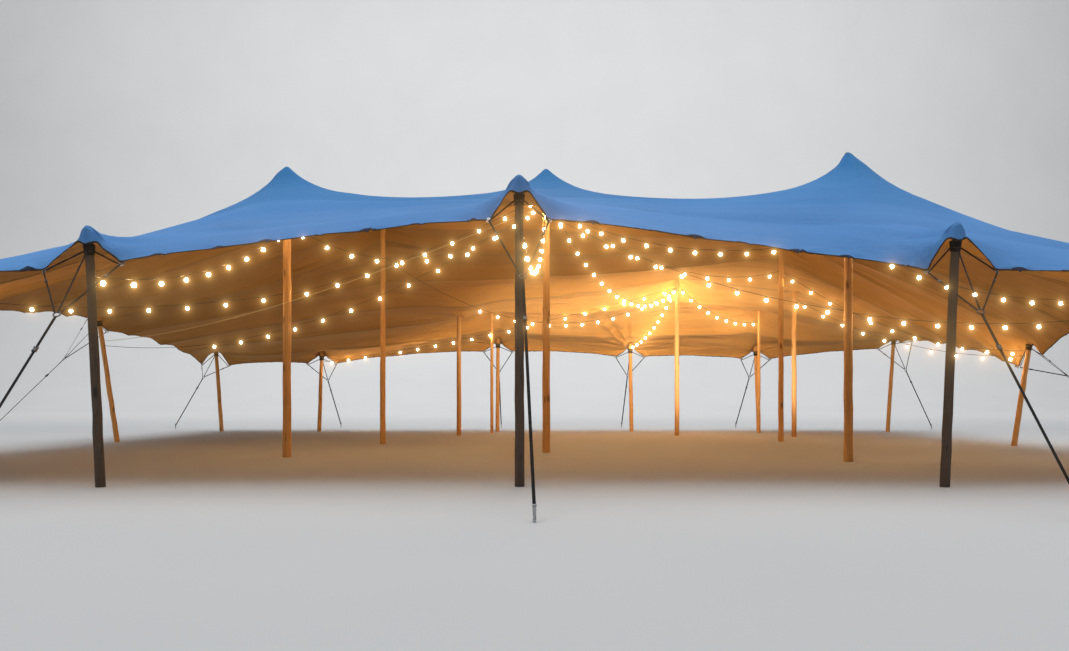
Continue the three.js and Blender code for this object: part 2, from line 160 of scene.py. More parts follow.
def activate(*objects: bpy.types.Object) -> None:
    """Select these objects alone and make the first one active.

    Args:
        objects: the objects to select.
    """
    deselect()
    for thing in objects:
        thing.select_set(True)
    bpy.context.view_layer.objects.active = objects[0]


def settle(thing: bpy.types.Object) -> bpy.types.Object:
    """Move an object's place, turn and scale into its mesh.

    Args:
        thing: the object to settle.

    Returns:
        The same object, now at the origin.
    """
    activate(thing)
    bpy.ops.object.transform_apply(location=True, rotation=True, scale=True)
    return thing


@contextmanager
def editing(thing: bpy.types.Object) -> Iterator[None]:
    """Hold an object in edit mode with all of its mesh selected.

    Args:
        thing: the object to edit.

    Yields:
        Nothing, while the object is in edit mode.
    """
    activate(thing)
    bpy.ops.object.mode_set(mode="EDIT")
    bpy.ops.mesh.select_all(action="SELECT")
    yield
    bpy.ops.object.mode_set(mode="OBJECT")


@contextmanager
def picking(thing: bpy.types.Object, kind: str, wanted: Iterable[bool]) -> Iterator[None]:
    """Hold an object in edit mode with some of its vertices or faces selected.

    Args:
        thing: the object to edit.
        kind: what is selected, VERT or FACE.
        wanted: whether each vertex or face is selected.

    Yields:
        Nothing, while the object is in edit mode.
    """
    with editing(thing):
        bpy.ops.mesh.select_mode(type=kind)
        bpy.ops.mesh.select_all(action="DESELECT")
    members = thing.data.vertices if kind == "VERT" else thing.data.polygons
    members.foreach_set("select", wanted)
    bpy.ops.object.mode_set(mode="EDIT")
    yield
    bpy.ops.object.mode_set(mode="OBJECT")


def modified(thing: bpy.types.Object, kind: str, **settings: float | str) -> bpy.types.Object:
    """Add a modifier to an object and apply it.

    Args:
        thing: the object.
        kind: the modifier's type.
        settings: its settings by name.

    Returns:
        The same object.
    """
    activate(thing)
    bpy.ops.object.modifier_add(type=kind)
    modifier = thing.modifiers[-1]
    for name, value in settings.items():
        setattr(modifier, name, value)
    bpy.ops.object.modifier_apply(modifier=modifier.name)
    return thing


def joined(name: str, parts: list[bpy.types.Object]) -> bpy.types.Object:
    """Join several objects into one named piece.

    Args:
        name: the new piece's name.
        parts: the objects, which the piece takes up.

    Returns:
        The joined piece, at the origin.
    """
    activate(*parts)
    if len(parts) > 1:
        bpy.ops.object.join()
    piece = bpy.context.view_layer.objects.active
    piece.name = name
    piece.data.name = name
    return settle(piece)


def placed(template: bpy.types.Object, matrix: Matrix) -> bpy.types.Object:
    """Copy a modelled template to a place.

    Args:
        template: the object to copy, modelled at the origin.
        matrix: where the copy goes.

    Returns:
        The copy, with a mesh of its own.
    """
    copy = template.copy()
    copy.data = template.data.copy()
    copy.data.transform(matrix)
    bpy.context.scene.collection.objects.link(copy)
    return copy


def framed(place: Vector, x_axis: Vector, up: Vector) -> Matrix:
    """Return the matrix that puts a template's X along x_axis and its Z towards up.

    Args:
        place: where the template's origin goes.
        x_axis: the direction of the template's X.
        up: the direction that its Z leans to.

    Returns:
        The 4 by 4 matrix.
    """
    x = x_axis.normalized()
    y = up.cross(x).normalized()
    z = x.cross(y)
    turn = Matrix((x, y, z)).transposed()
    return Matrix.Translation(place) @ turn.to_4x4()


def mesh_piece(name: str, points: np.ndarray, faces: list[tuple[int, ...]]) -> bpy.types.Object:
    """Make an object from points and faces.

    Args:
        name: the piece's name.
        points: one row for each vertex, in metres.
        faces: the vertex numbers of each face.

    Returns:
        The new object.
    """
    data = bpy.data.meshes.new(name)
    data.from_pydata([tuple(map(float, point)) for point in points], [], faces)
    data.update()
    thing = bpy.data.objects.new(name, data)
    bpy.context.scene.collection.objects.link(thing)
    return thing


def outward(thing: bpy.types.Object) -> bpy.types.Object:
    """Merge an object's doubles and turn its faces outwards.

    Args:
        thing: a closed mesh.

    Returns:
        The same object.
    """
    with editing(thing):
        bpy.ops.mesh.remove_doubles(threshold=1e-5)
        bpy.ops.mesh.normals_make_consistent(inside=False)
    return thing


def smoothed(thing: bpy.types.Object, angle_degrees: float = 40.0) -> bpy.types.Object:
    """Shade an object smooth but for its sharp edges.

    Args:
        thing: the object.
        angle_degrees: edges sharper than this stay sharp.

    Returns:
        The same object.
    """
    activate(thing)
    bpy.ops.object.shade_smooth_by_angle(angle=math.radians(angle_degrees))
    return thing


def drawn_up(sides: int, foot: Vector, radius: float, rings: list[tuple[Vector, float]]) -> bpy.types.Object:
    """Extrude a disc ring by ring.

    Args:
        sides: how many sides it has.
        foot: the middle of the first ring.
        radius: the radius of the first ring.
        rings: the middle and the radius of each ring after it.

    Returns:
        The closed form.
    """
    deselect()
    bpy.ops.mesh.primitive_circle_add(vertices=sides, radius=radius, fill_type="NGON", location=foot)
    made = bpy.context.object
    here = foot
    with editing(made):
        for there, wanted in rings:
            bpy.ops.mesh.extrude_region_move(TRANSFORM_OT_translate={"value": there - here})
            ratio = wanted / radius
            bpy.ops.transform.resize(value=(ratio, ratio, 1.0), center_override=there)
            here, radius = there, wanted
    return made


def unit(rows: np.ndarray) -> np.ndarray:
    """Return each row of an array at a length of one."""
    return rows / np.linalg.norm(rows, axis=1, keepdims=True)


def way_round(line: np.ndarray) -> np.ndarray:
    """Return the way that a closed line runs at each of its points."""
    return np.roll(line, -1, axis=0) - np.roll(line, 1, axis=0)


def travelled(line: np.ndarray) -> np.ndarray:
    """Return how far along a line each of its points lies."""
    return np.concatenate([[0.0], np.cumsum(np.linalg.norm(np.diff(line, axis=0), axis=1))])


def swept(name: str, line: np.ndarray, wide: np.ndarray, outline: np.ndarray, closed: bool,
          taper: np.ndarray | None = None) -> bpy.types.Object:
    """Sweep an outline along a line, as a strap, a hem or a seam tape is laid.

    Args:
        name: the piece's name.
        line: the points that the outline's middle follows.
        wide: at each point, the direction of the outline's first coordinate.
        outline: the section's corners as (across, off) in metres, counter-clockwise.
        closed: whether the line's end meets its start.
        taper: the share of the outline's width at each point, or None for all of it.

    Returns:
        The swept object, with ends capped where it is open.
    """
    ahead = way_round(line)
    if not closed:
        ahead[0] = line[1] - line[0]
        ahead[-1] = line[-1] - line[-2]
    ahead = unit(ahead)
    across = unit(wide - (wide * ahead).sum(1, keepdims=True) * ahead)
    off = np.cross(ahead, across)
    if taper is not None:
        across *= taper[:, None]
    corners = len(outline)
    points = (line[:, None] + across[:, None] * outline[:, :1] + off[:, None] * outline[:, 1:]).reshape(-1, 3)
    faces = []
    for step in range(len(line) if closed else len(line) - 1):
        here, there = step * corners, (step + 1) % len(line) * corners
        for k in range(corners):
            after = (k + 1) % corners
            faces.append((here + k, there + k, there + after, here + after))
    if not closed:
        last = (len(line) - 1) * corners
        faces.append(tuple(range(corners)))
        faces.append(tuple(last + k for k in reversed(range(corners))))
    return outward(mesh_piece(name, points, faces))


def flat_outline(width: float, thickness: float) -> np.ndarray:
    """Return the section of a woven strap: a flat bar with rounded edges.

    Args:
        width: the strap's width in metres.
        thickness: its thickness in metres.

    Returns:
        Eight corners as (across, off).
    """
    half, deep = width / 2, thickness / 2
    near = half - deep
    return np.array([
        (-half, -0.4 * deep), (-near, -deep), (near, -deep), (half, -0.4 * deep),
        (half, 0.4 * deep), (near, deep), (-near, deep), (-half, 0.4 * deep),
    ])


def round_outline(radius_across: float, radius_off: float, sides: int) -> np.ndarray:
    """Return an ellipse as a section.

    Args:
        radius_across: half of its width.
        radius_off: half of its thickness.
        sides: how many corners it has.

    Returns:
        The corners as (across, off).
    """
    angles = np.arange(sides) * 2 * math.pi / sides
    return np.stack([radius_across * np.cos(angles), radius_off * np.sin(angles)], axis=1)


def ride(piece: bpy.types.Object, slot: str, *nodes: str) -> bpy.types.Object:
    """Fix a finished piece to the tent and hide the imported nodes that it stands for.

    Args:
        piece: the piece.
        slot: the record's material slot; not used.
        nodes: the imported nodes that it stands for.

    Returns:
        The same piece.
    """
    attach(piece, BODY)
    if nodes:
        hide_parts(*nodes)
    return piece


class NodeBench:
    """A material's node tree, with a short way to add and join nodes."""

    def __init__(self, name: str) -> None:
        """Start a material with an empty shader.

        Args:
            name: the material's name.
        """
        self.material = bpy.data.materials.new(name)
        self.material.use_nodes = True
        self.tree = self.material.node_tree
        self.shader = self.tree.nodes["Principled BSDF"]
        self.shader.inputs["Roughness"].default_value = 0.7

    def node(self, kind: str, **inputs: object) -> bpy.types.Node:
        """Add a node and set its sockets or link them.

        Args:
            kind: the node's type without its ShaderNode prefix.
            inputs: a value or a socket for each named input; spaces are written as underscores.

        Returns:
            The new node.
        """
        made = self.tree.nodes.new("ShaderNode" + kind)
        for key, value in inputs.items():
            socket = made.inputs[int(key[1:])] if key[1:].isdigit() else made.inputs[key.replace("_", " ")]
            if isinstance(value, bpy.types.NodeSocket):
                self.tree.links.new(value, socket)
            else:
                socket.default_value = value
        return made

    def scaled(self, size: tuple[float, float, float], source: str = "Object") -> bpy.types.NodeSocket:
        """Return coordinates of the piece, multiplied on each axis.

        Args:
            size: the factor on each axis.
            source: the output of the coordinate node, Object or UV.

        Returns:
            The scaled vector's socket.
        """
        place = self.node("TexCoord")
        return self.node("Mapping", Vector=place.outputs[source], Scale=size).outputs[0]

    def noise(self, size: tuple[float, float, float], detail: float = 3.0, source: str = "Object",
              roughness: float = 0.5) -> bpy.types.NodeSocket:
        """Return a noise value over the piece.

        Args:
            size: how many blobs there are in a metre, on each axis.
            detail: the noise's octaves.
            source: Object or UV coordinates.
            roughness: how strong the finer octaves are.

        Returns:
            The value's socket.
        """
        vector = self.scaled(size, source)
        made = self.node("TexNoise", Vector=vector, Scale=1.0, Detail=detail, Roughness=roughness)
        return made.outputs["Fac"]

    def shade(self, **values: float) -> None:
        """Set the shader's own sockets by name, with underscores for spaces."""
        for key, value in values.items():
            self.shader.inputs[key.replace("_", " ")].default_value = value

    def math(self, operation: str, first: object, second: object = 0.5) -> bpy.types.NodeSocket:
        """Return the result of one sum.

        Args:
            operation: the name of the sum.
            first: its first value or socket.
            second: its second value or socket.

        Returns:
            The result's socket.
        """
        made = self.node("Math", _0=first, _1=second)
        made.operation = operation
        return made.outputs[0]

    def ramp(self, factor: bpy.types.NodeSocket, *stops: tuple[float, tuple[float, float, float]]
             ) -> bpy.types.NodeSocket:
        """Return a colour ramp's colour.

        Args:
            factor: the value to look up.
            stops: pairs of place and colour.

        Returns:
            The colour's socket.
        """
        node = self.node("ValToRGB", Fac=factor)
        elements = node.color_ramp.elements
        for index, (place, colour) in enumerate(stops):
            element = elements[index] if index < len(elements) else elements.new(place)
            element.position = place
            element.color = (*colour, 1.0)
        return node.outputs["Color"]

    def between(self, factor: bpy.types.NodeSocket | float, first: object, second: object,
                blend: str = "MIX") -> bpy.types.NodeSocket:
        """Return a mix of two colours.

        Args:
            factor: the share of the second colour.
            first: the first colour or socket.
            second: the second colour or socket.
            blend: the way that they mix.

        Returns:
            The mixed colour's socket.
        """
        node = self.tree.nodes.new("ShaderNodeMix")
        node.data_type = "RGBA"
        node.blend_type = blend
        pairs = ((node.inputs["Factor"], factor), (node.inputs[6], first), (node.inputs[7], second))
        for socket, value in pairs:
            if isinstance(value, bpy.types.NodeSocket):
                self.tree.links.new(value, socket)
            elif isinstance(value, tuple):
                socket.default_value = (*value, 1.0)
            else:
                socket.default_value = value
        return node.outputs[2]

    def colour(self, socket: bpy.types.NodeSocket) -> None:
        """Link the shader's base colour."""
        self.tree.links.new(socket, self.shader.inputs["Base Color"])

    def relief(self, *layers: tuple[bpy.types.NodeSocket, float]) -> None:
        """Give the surface its fine relief.

        Args:
            layers: pairs of a height value and its depth in metres.
        """
        previous = None
        for height, depth in layers:
            bump = self.node("Bump", Height=height, Distance=depth)
            if previous is not None:
                self.tree.links.new(previous, bump.inputs["Normal"])
            previous = bump.outputs["Normal"]
        self.tree.links.new(previous, self.shader.inputs["Normal"])

    def range(self, factor: bpy.types.NodeSocket, low: float, high: float) -> bpy.types.NodeSocket:
        """Return a value stretched to a range.

        Args:
            factor: the value from 0 to 1.
            low: what 0 becomes.
            high: what 1 becomes.

        Returns:
            The new value's socket.
        """
        return self.node("MapRange", Value=factor, To_Min=low, To_Max=high).outputs["Result"]

    def vary_roughness(self, factor: bpy.types.NodeSocket, low: float, high: float) -> None:
        """Let the roughness follow a value between two limits."""
        self.tree.links.new(self.range(factor, low, high), self.shader.inputs["Roughness"])


@dataclass(frozen=True)
class StretchFabric:
    """Coated two-way stretch knit, with the welded panels showing as faint bands of tone, and on the
    underside as bands of painted shade.

    Attributes:
        name: the material's name.
        pale: the colour where the coating is fresh.
        dull: the colour where it is weathered.
        sheen: the strength of the soft edge gloss.
        panel_width: the distance between two welded seams in metres.
        swell: how deep the panels look from this side, in metres.
        panel_tone_and_shade: how bright each panel is, from the front one on; on the underside the darker
            panels are painted shade bands.
        high: the darker colour painted towards the peaks as shade, or None where there is none.
    """

    # The heights between which the colour turns towards the painted shade of the peaks
    PEAK_SHADE_START = 3.3
    PEAK_SHADE_FULL = 4.9

    name: str
    pale: tuple[float, float, float]
    dull: tuple[float, float, float]
    sheen: float
    panel_width: float
    swell: float = 0.0
    panel_tone_and_shade: tuple[float, ...] = (1.0,)
    high: tuple[float, float, float] | None = None

    def material(self) -> bpy.types.Material:
        """Return the node material."""
        bench = NodeBench(self.name)
        bench.shade(Roughness=0.88, Specular_IOR_Level=0.2, Sheen_Weight=self.sheen, Sheen_Roughness=0.45)
        blotches = bench.noise((0.45, 0.45, 0.45), 4.0)
        tone = bench.ramp(blotches, (0.32, self.dull), (0.68, self.pale))
        streaks = bench.noise((0.5, 6.0, 1.0), 5.0, "UV")
        faded = tuple(0.72 * value for value in self.pale)
        tone = bench.between(bench.range(streaks, 0.0, 0.22), tone, faded)
        place = bench.node("TexCoord")
        across = bench.node("SeparateXYZ", Vector=place.outputs["UV"]).outputs["Y"]
        panels = bench.math("DIVIDE", across, self.panel_width)
        # Each panel's brightness: its own tone, with painted shade bands on the underside
        count = len(self.panel_tone_and_shade)
        stops = ((k / count, (value,) * 3) for k, value in enumerate(self.panel_tone_and_shade))
        grey = bench.ramp(bench.math("MULTIPLY", panels, 1.0 / count), *stops)
        grey.node.color_ramp.interpolation = "CONSTANT"
        # Painted shade: the colour darkens with height towards the peaks
        if self.high:
            height = bench.node("SeparateXYZ", Vector=place.outputs["Object"]).outputs["Z"]
            rise = bench.node("MapRange", Value=height, From_Min=self.PEAK_SHADE_START, From_Max=self.PEAK_SHADE_FULL)
            tone = bench.between(rise.outputs["Result"], tone, self.high)
        bench.colour(bench.between(1.0, tone, grey, "MULTIPLY"))
        thread = bench.scaled((1.0, 1.0, 1.0), "UV")
        knit = bench.node("TexWave", Vector=thread, Scale=90.0, Distortion=1.2, Detail=2.0)
        dimples = bench.noise((240.0, 240.0, 240.0), 2.0)
        creases = bench.noise((2.2, 9.0, 3.0), 6.0, "UV", 0.6)
        layers = [(creases, 0.02), (knit.outputs["Fac"], 0.0015), (dimples, 0.0012)]
        if self.swell:
            billows = bench.noise((0.35, 1.7, 1.0), 3.0, "UV", 0.55)
            layers = [(self.vault(bench, panels), 4 * self.swell), (billows, 1.6 * self.swell), *layers]
        bench.relief(*layers)
        return bench.material

    def vault(self, bench: NodeBench, panels: bpy.types.NodeSocket) -> bpy.types.NodeSocket:
        """Return a height that is lowest in the middle of each panel and highest at its seams.

        Args:
            bench: the material's nodes.
            panels: how many panels lie before the point.

        Returns:
            The height's socket, from 0 to a quarter.
        """
        centred = bench.math("SUBTRACT", bench.math("FRACT", panels), 0.5)
        return bench.math("MULTIPLY", centred, centred)


@dataclass(frozen=True)
class Timber:
    """Debarked pole timber with grain along its length, knots and drying checks.

    Attributes:
        name: the material's name.
        light: the early wood's colour.
        dark: the late wood's colour.
        knot: the colour of knots and checks.
        weathering: the share of grey weathering, from 0 to 1.
    """

    name: str
    light: tuple[float, float, float]
    dark: tuple[float, float, float]
    knot: tuple[float, float, float]
    weathering: float

    def material(self) -> bpy.types.Material:
        """Return the node material."""
        bench = NodeBench(self.name)
        grain = bench.noise((34.0, 34.0, 0.9), 6.0, "Object", 0.65)
        tone = bench.ramp(grain, (0.30, self.dark), (0.52, self.light), (0.72, self.dark))
        patches = bench.noise((3.0, 3.0, 0.8), 4.0)
        grey = tuple(0.6 * sum(self.light) / 3 + 0.2 * value + 0.01 for value in self.light)
        tone = bench.between(bench.range(patches, 0.0, self.weathering), tone, grey)
        knots = bench.node("TexVoronoi", Vector=bench.scaled((5.0, 5.0, 1.7)), Scale=1.0, Randomness=1.0)
        spots = bench.ramp(knots.outputs["Distance"], (0.05, (1.0, 1.0, 1.0)), (0.17, (0.0, 0.0, 0.0)))
        tone = bench.between(spots, tone, self.knot)
        checks = bench.noise((70.0, 70.0, 1.3), 2.0)
        split = bench.ramp(checks, (0.66, (0.0, 0.0, 0.0)), (0.72, (1.0, 1.0, 1.0)))
        bench.colour(bench.between(split, tone, self.knot))
        bench.vary_roughness(grain, 0.58, 0.86)
        bench.relief((grain, 0.006), (spots, 0.004), (checks, 0.004))
        return bench.material


@dataclass(frozen=True)
class Webbing:
    """Woven polyester strap.

    Attributes:
        name: the material's name.
        thread: the colour of the threads.
        worn: the colour where the weave is rubbed.
    """

    name: str
    thread: tuple[float, float, float]
    worn: tuple[float, float, float]

    def material(self) -> bpy.types.Material:
        """Return the node material."""
        bench = NodeBench(self.name)
        bench.shade(Roughness=0.85, Specular_IOR_Level=0.2)
        rub = bench.noise((22.0, 22.0, 22.0), 4.0)
        bench.colour(bench.ramp(rub, (0.42, self.thread), (0.78, self.worn)))
        weave = bench.node("TexWave", Vector=bench.scaled((1.0, 1.0, 1.0)), Scale=60.0, Distortion=0.6)
        weave.bands_direction = "DIAGONAL"
        bench.relief((weave.outputs["Fac"], 0.0016), (rub, 0.001))
        return bench.material


@dataclass(frozen=True)
class Metal:
    """Galvanised or painted steel.

    Attributes:
        name: the material's name.
        bright: the clean metal's colour.
        dull: the colour of its spangle and stains.
        metallic: how metallic it is.
    """

    name: str
    bright: tuple[float, float, float]
    dull: tuple[float, float, float]
    metallic: float

    def material(self) -> bpy.types.Material:
        """Return the node material."""
        bench = NodeBench(self.name)
        bench.shade(Metallic=self.metallic)
        stain = bench.noise((28.0, 28.0, 28.0), 5.0)
        bench.colour(bench.ramp(stain, (0.35, self.dull), (0.62, self.bright)))
        bench.vary_roughness(stain, 0.62, 0.34)
        bench.relief((stain, 0.0008))
        return bench.material


@dataclass(frozen=True)
class Sheath:
    """Rubber or plastic, moulded or extruded.

    Attributes:
        name: the material's name.
        body: the colour of the material.
        scuffed: the colour of its scuffs.
        roughness: how matt it is.
    """

    name: str
    body: tuple[float, float, float]
    scuffed: tuple[float, float, float]
    roughness: float

    def material(self) -> bpy.types.Material:
        """Return the node material."""
        bench = NodeBench(self.name)
        bench.shade(Roughness=self.roughness)
        scuffs = bench.noise((45.0, 45.0, 45.0), 4.0)
        bench.colour(bench.ramp(scuffs, (0.5, self.body), (0.8, self.scuffed)))
        bench.relief((scuffs, 0.0006))
        return bench.material


@dataclass(frozen=True)
class LitGlass:
    """A lit globe bulb that glows all over, with a faint haze in its glass.

    Attributes:
        name: the material's name.
        glass: the colour of the glass.
        glow: the colour of the light.
        strength: how brightly it shines.
    """

    name: str
    glass: tuple[float, float, float]
    glow: tuple[float, float, float]
    strength: float

    def material(self) -> bpy.types.Material:
        """Return the node material."""
        bench = NodeBench(self.name)
        bench.shade(Roughness=0.12, Emission_Strength=self.strength)
        haze = bench.noise((60.0, 60.0, 60.0), 2.0)
        smoked = tuple(0.85 * value for value in self.glass)
        bright = tuple(min(1.0, 1.12 * value) for value in self.glow)
        bench.colour(bench.ramp(haze, (0.3, self.glass), (0.7, smoked)))
        light = bench.ramp(haze, (0.3, self.glow), (0.7, bright))
        bench.tree.links.new(light, bench.shader.inputs["Emission Color"])
        return bench.material


class Finishes:
    """Every finish of the tent, each made once."""

    def __init__(self) -> None:
        """Make the materials."""
        panel = Canopy.PANEL_ROWS * 2 * CUT_HALF_DEPTH / (Canopy.ROWS * Canopy.FINE)
        # Painted light: the outer's blue stands in for dusk skylight on the top of the fabric
        self.outer = StretchFabric(
            "canopy_outer_painted_dusk_blue", (0.125, 0.335, 0.70), (0.088, 0.27, 0.60), 0.03, panel,
            panel_tone_and_shade=(1.0, 0.96, 0.99, 0.95, 0.98, 1.0, 0.96, 0.98, 0.95, 1.0, 0.97, 0.99),
            # painted shade towards the peaks
            high=(0.035, 0.205, 0.46),
        ).material()
        # Painted light: the inner's amber stands in for the lamps' light on the underside
        self.inner = StretchFabric(
            "canopy_inner_painted_lamp_amber", (0.64, 0.312, 0.086), (0.515, 0.24, 0.060), 0.02, panel, 0.20,
            # the darker panels paint shade bands across the underside
            (0.90, 0.94, 0.90, 0.95, 0.90, 0.86, 0.80, 0.78, 1.0, 1.0, 0.92, 0.84),
        ).material()
        # The seam tapes take the same painted lamp amber, a little darker
        self.seam = StretchFabric(
            "seam_tape", (0.42, 0.225, 0.072), (0.35, 0.185, 0.056), 0.02, panel
        ).material()
        self.pine = Timber(
            "pine", (0.70, 0.34, 0.092), (0.48, 0.21, 0.052), (0.17, 0.07, 0.022), 0.06
        ).material()
        self.weathered = Timber(
            "weathered_timber", (0.088, 0.050, 0.026), (0.044, 0.026, 0.014), (0.016, 0.010, 0.006), 0.2
        ).material()
        self.webbing = Webbing("webbing", (0.010, 0.009, 0.008), (0.032, 0.028, 0.025)).material()
        self.hem = Webbing("hem_binding", (0.026, 0.019, 0.015), (0.06, 0.046, 0.036)).material()
        self.patch = Webbing("hem_patch", (0.020, 0.035, 0.075), (0.045, 0.065, 0.115)).material()
        self.steel = Metal("galvanised_steel", (0.50, 0.51, 0.52), (0.30, 0.31, 0.32), 0.9).material()
        self.buckle = Metal("ratchet_steel", (0.10, 0.10, 0.105), (0.05, 0.05, 0.052), 0.75).material()
        self.cable = Sheath("cable_sheath", (0.016, 0.014, 0.013), (0.05, 0.046, 0.042), 0.55).material()
        self.lead = Sheath("lead_sheath", (0.86, 0.68, 0.27), (0.70, 0.53, 0.19), 0.45).material()
        self.socket = Sheath("lamp_socket", (0.020, 0.017, 0.015), (0.07, 0.06, 0.055), 0.42).material()
        self.bulb = LitGlass("lit_bulb", (0.95, 0.88, 0.75), (1.0, 0.68, 0.34), 115.0).material()


@dataclass
class Pole:
    """A round timber post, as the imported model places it.

    Attributes:
        name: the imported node's name without its ending.
        foot: the middle of the foot on the ground.
        tip: the highest point.
        foot_radius: the radius at the foot.
        head_radius: the radius below the rounded head.
        top: the height of the canopy's middle above the pole.
        lean: the sideways shift for each metre of height.
        out: the outward direction, or no length for an upright pole.
    """

    RINGS_A_METRE = 5.0
    SIDES = 24
    WANDER = 0.0045
    SWELL = (0.965, 1.01)
    FOOT_EDGE = 0.012
    LEAST_LEAN = 0.01
    FABRIC_ABOVE = 0.012
    # The rounded head from its shoulder up: how far below the tip and how wide, as shares of its radius
    HEAD_PROFILE = ((0.65, 1.0), (0.32, 0.84), (0.1, 0.52), (0.0, 0.2))

    name: str
    foot: Vector = field(init=False)
    tip: Vector = field(init=False)
    foot_radius: float = field(init=False)
    head_radius: float = field(init=False)
    top: float = field(init=False)
    lean: Vector = field(init=False)
    out: Vector = field(init=False)

    def __post_init__(self) -> None:
        """Read the pole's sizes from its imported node."""
        corners = [vertex.co.copy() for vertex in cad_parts[self.node].data.vertices]
        ground = [corner for corner in corners if corner.z < 0.001]
        ring = {(round(corner.x, 4), round(corner.y, 4)) for corner in ground}
        far = [Vector((*spot, 0.0)) for spot in ring]
        low = Vector((min(p.x for p in far), min(p.y for p in far), 0.0))
        high = Vector((max(p.x for p in far), max(p.y for p in far), 0.0))
        self.foot = (low + high) / 2
        self.foot_radius = max((p - self.foot).length for p in far)
        self.tip = max(corners, key=lambda corner: corner.z)
        self.top = self.tip.z + self.FABRIC_ABOVE
        self.lean = (self.tip - self.foot) / self.tip.z
        self.lean.z = 0.0
        if self.lean.length <= self.LEAST_LEAN:
            self.lean = Vector((0.0, 0.0, 0.0))
        self.out = self.lean.normalized()
        below = [corner for corner in corners if 0.8 * self.tip.z < corner.z < self.tip.z - 0.02]
        self.head_radius = max((corner - self.at(corner.z)).length for corner in below)

    @property
    def node(self) -> str:
        """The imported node's name."""
        return f"{self.name}_pole"

    @property
    def along(self) -> Vector:
        """The direction along the hem, counter-clockwise from outwards."""
        return Vector((-self.out.y, self.out.x, 0.0))

    def at(self, height: float) -> Vector:
        """Return the axis point at a height."""
        return self.foot + self.lean * height + Vector((0.0, 0.0, height))

    def radius_at(self, height: float) -> float:
        """Return the radius at a height."""
        share = height / self.tip.z
        return self.foot_radius + (self.head_radius - self.foot_radius) * share

    def timber(self, finish: bpy.types.Material, slot: str) -> bpy.types.Object:
        """Model the post: a disc is extruded up ring by ring, with the slight wander of a real trunk.

        Args:
            finish: the wood.
            slot: the record's slot.

        Returns:
            The finished piece.
        """
        draw = random.Random(self.name)
        sizes = [(self.FOOT_EDGE, self.foot_radius)]
        shoulder = self.tip.z - self.HEAD_PROFILE[0][0] * self.head_radius
        count = int(shoulder * self.RINGS_A_METRE)
        for step in range(1, count):
            height = shoulder * step / count
            sizes.append((height, self.radius_at(height) * draw.uniform(*self.SWELL)))
        for drop, share in self.HEAD_PROFILE:
            sizes.append((self.tip.z - drop * self.head_radius, share * self.head_radius))
        rings = []
        for height, radius in sizes:
            wander = self.WANDER if 0.3 < height < shoulder - 0.2 else 0.0
            aside = (draw.uniform(-wander, wander), draw.uniform(-wander, wander), 0.0)
            rings.append((self.at(height) + Vector(aside), radius))
        post = drawn_up(self.SIDES, self.foot, 0.95 * self.foot_radius, rings)
        piece = smoothed(outward(joined(f"{self.name}_timber", [post])), 50)
        piece.data.materials.append(finish)
        return ride(piece, slot, self.node)


@dataclass
class EdgePole(Pole):
    """A leaning pole at the canopy's edge, with the two hem corners beside it.

    Attributes:
        side: the side of the canopy that it stands on.
        corner_offsets: reach and drop of the hem corner before and after it, seen from above.
    """

    # The hood in front of the head: how far it reaches out, and how far it and its flap drop
    HOOD_REACH = 0.076
    HOOD_DROP = 0.05
    FLAP_DROP = 0.34
    # At an apex and at a shoulder: the way out, the way along and the drop, each as its start and its growth
    # towards the flap's lower edge
    APEX = ((-0.025, 0.055), (0.088, 0.012), (0.060, 0.124))
    SHOULDER = ((-0.09, 0.12), (0.150, 0.018), (0.150, 0.095))

    side: Side = Side.FRONT
    corner_offsets: tuple[tuple[float, float], tuple[float, float]] = ((0.4, 0.4), (0.4, 0.4))

    @property
    def head(self) -> Vector:
        """The point of the canopy's middle surface over the pole."""
        return Vector((self.tip.x, self.tip.y, self.top))

    @property
    def corners(self) -> tuple[Vector, Vector]:
        """The two hem corners that the side legs pull down."""
        places = []
        for sign, (reach, drop) in zip((-1, 1), self.corner_offsets, strict=True):
            place = self.head + self.along * (sign * reach)
            places.append(Vector((place.x, place.y, self.top - drop)))
        return places[0], places[1]

    def hood(self, sideways: float, share: float) -> Vector:
        """Return a point of the rounded hood over the pole's head.

        Args:
            sideways: from -1 at the apex before the pole to 1 at the apex after it, or 2 at the shoulder
                beside it.
            share: from 0 over the head to 1 at the flap's lower edge.

        Returns:
            The point on the canopy's middle surface.
        """
        aside = abs(sideways)
        sizes = self.SHOULDER if aside > 1 else self.APEX
        reach, along, drop = (start + growth * share for start, growth in sizes)
        if aside > 1:
            along /= aside
        else:
            turn = min(1.0, 2 * share) * math.pi / 2
            front = self.HOOD_DROP * (1 - math.cos(turn)) + max(0.0, share - 0.5) * self.FLAP_DROP
            reach = self.HOOD_REACH * math.sin(turn) * (1 - aside) + reach * aside
            drop = front * (1 - aside) + drop * aside
        over = self.head + self.out * reach + self.along * (sideways * along)
        return Vector((over.x, over.y, self.top - drop))


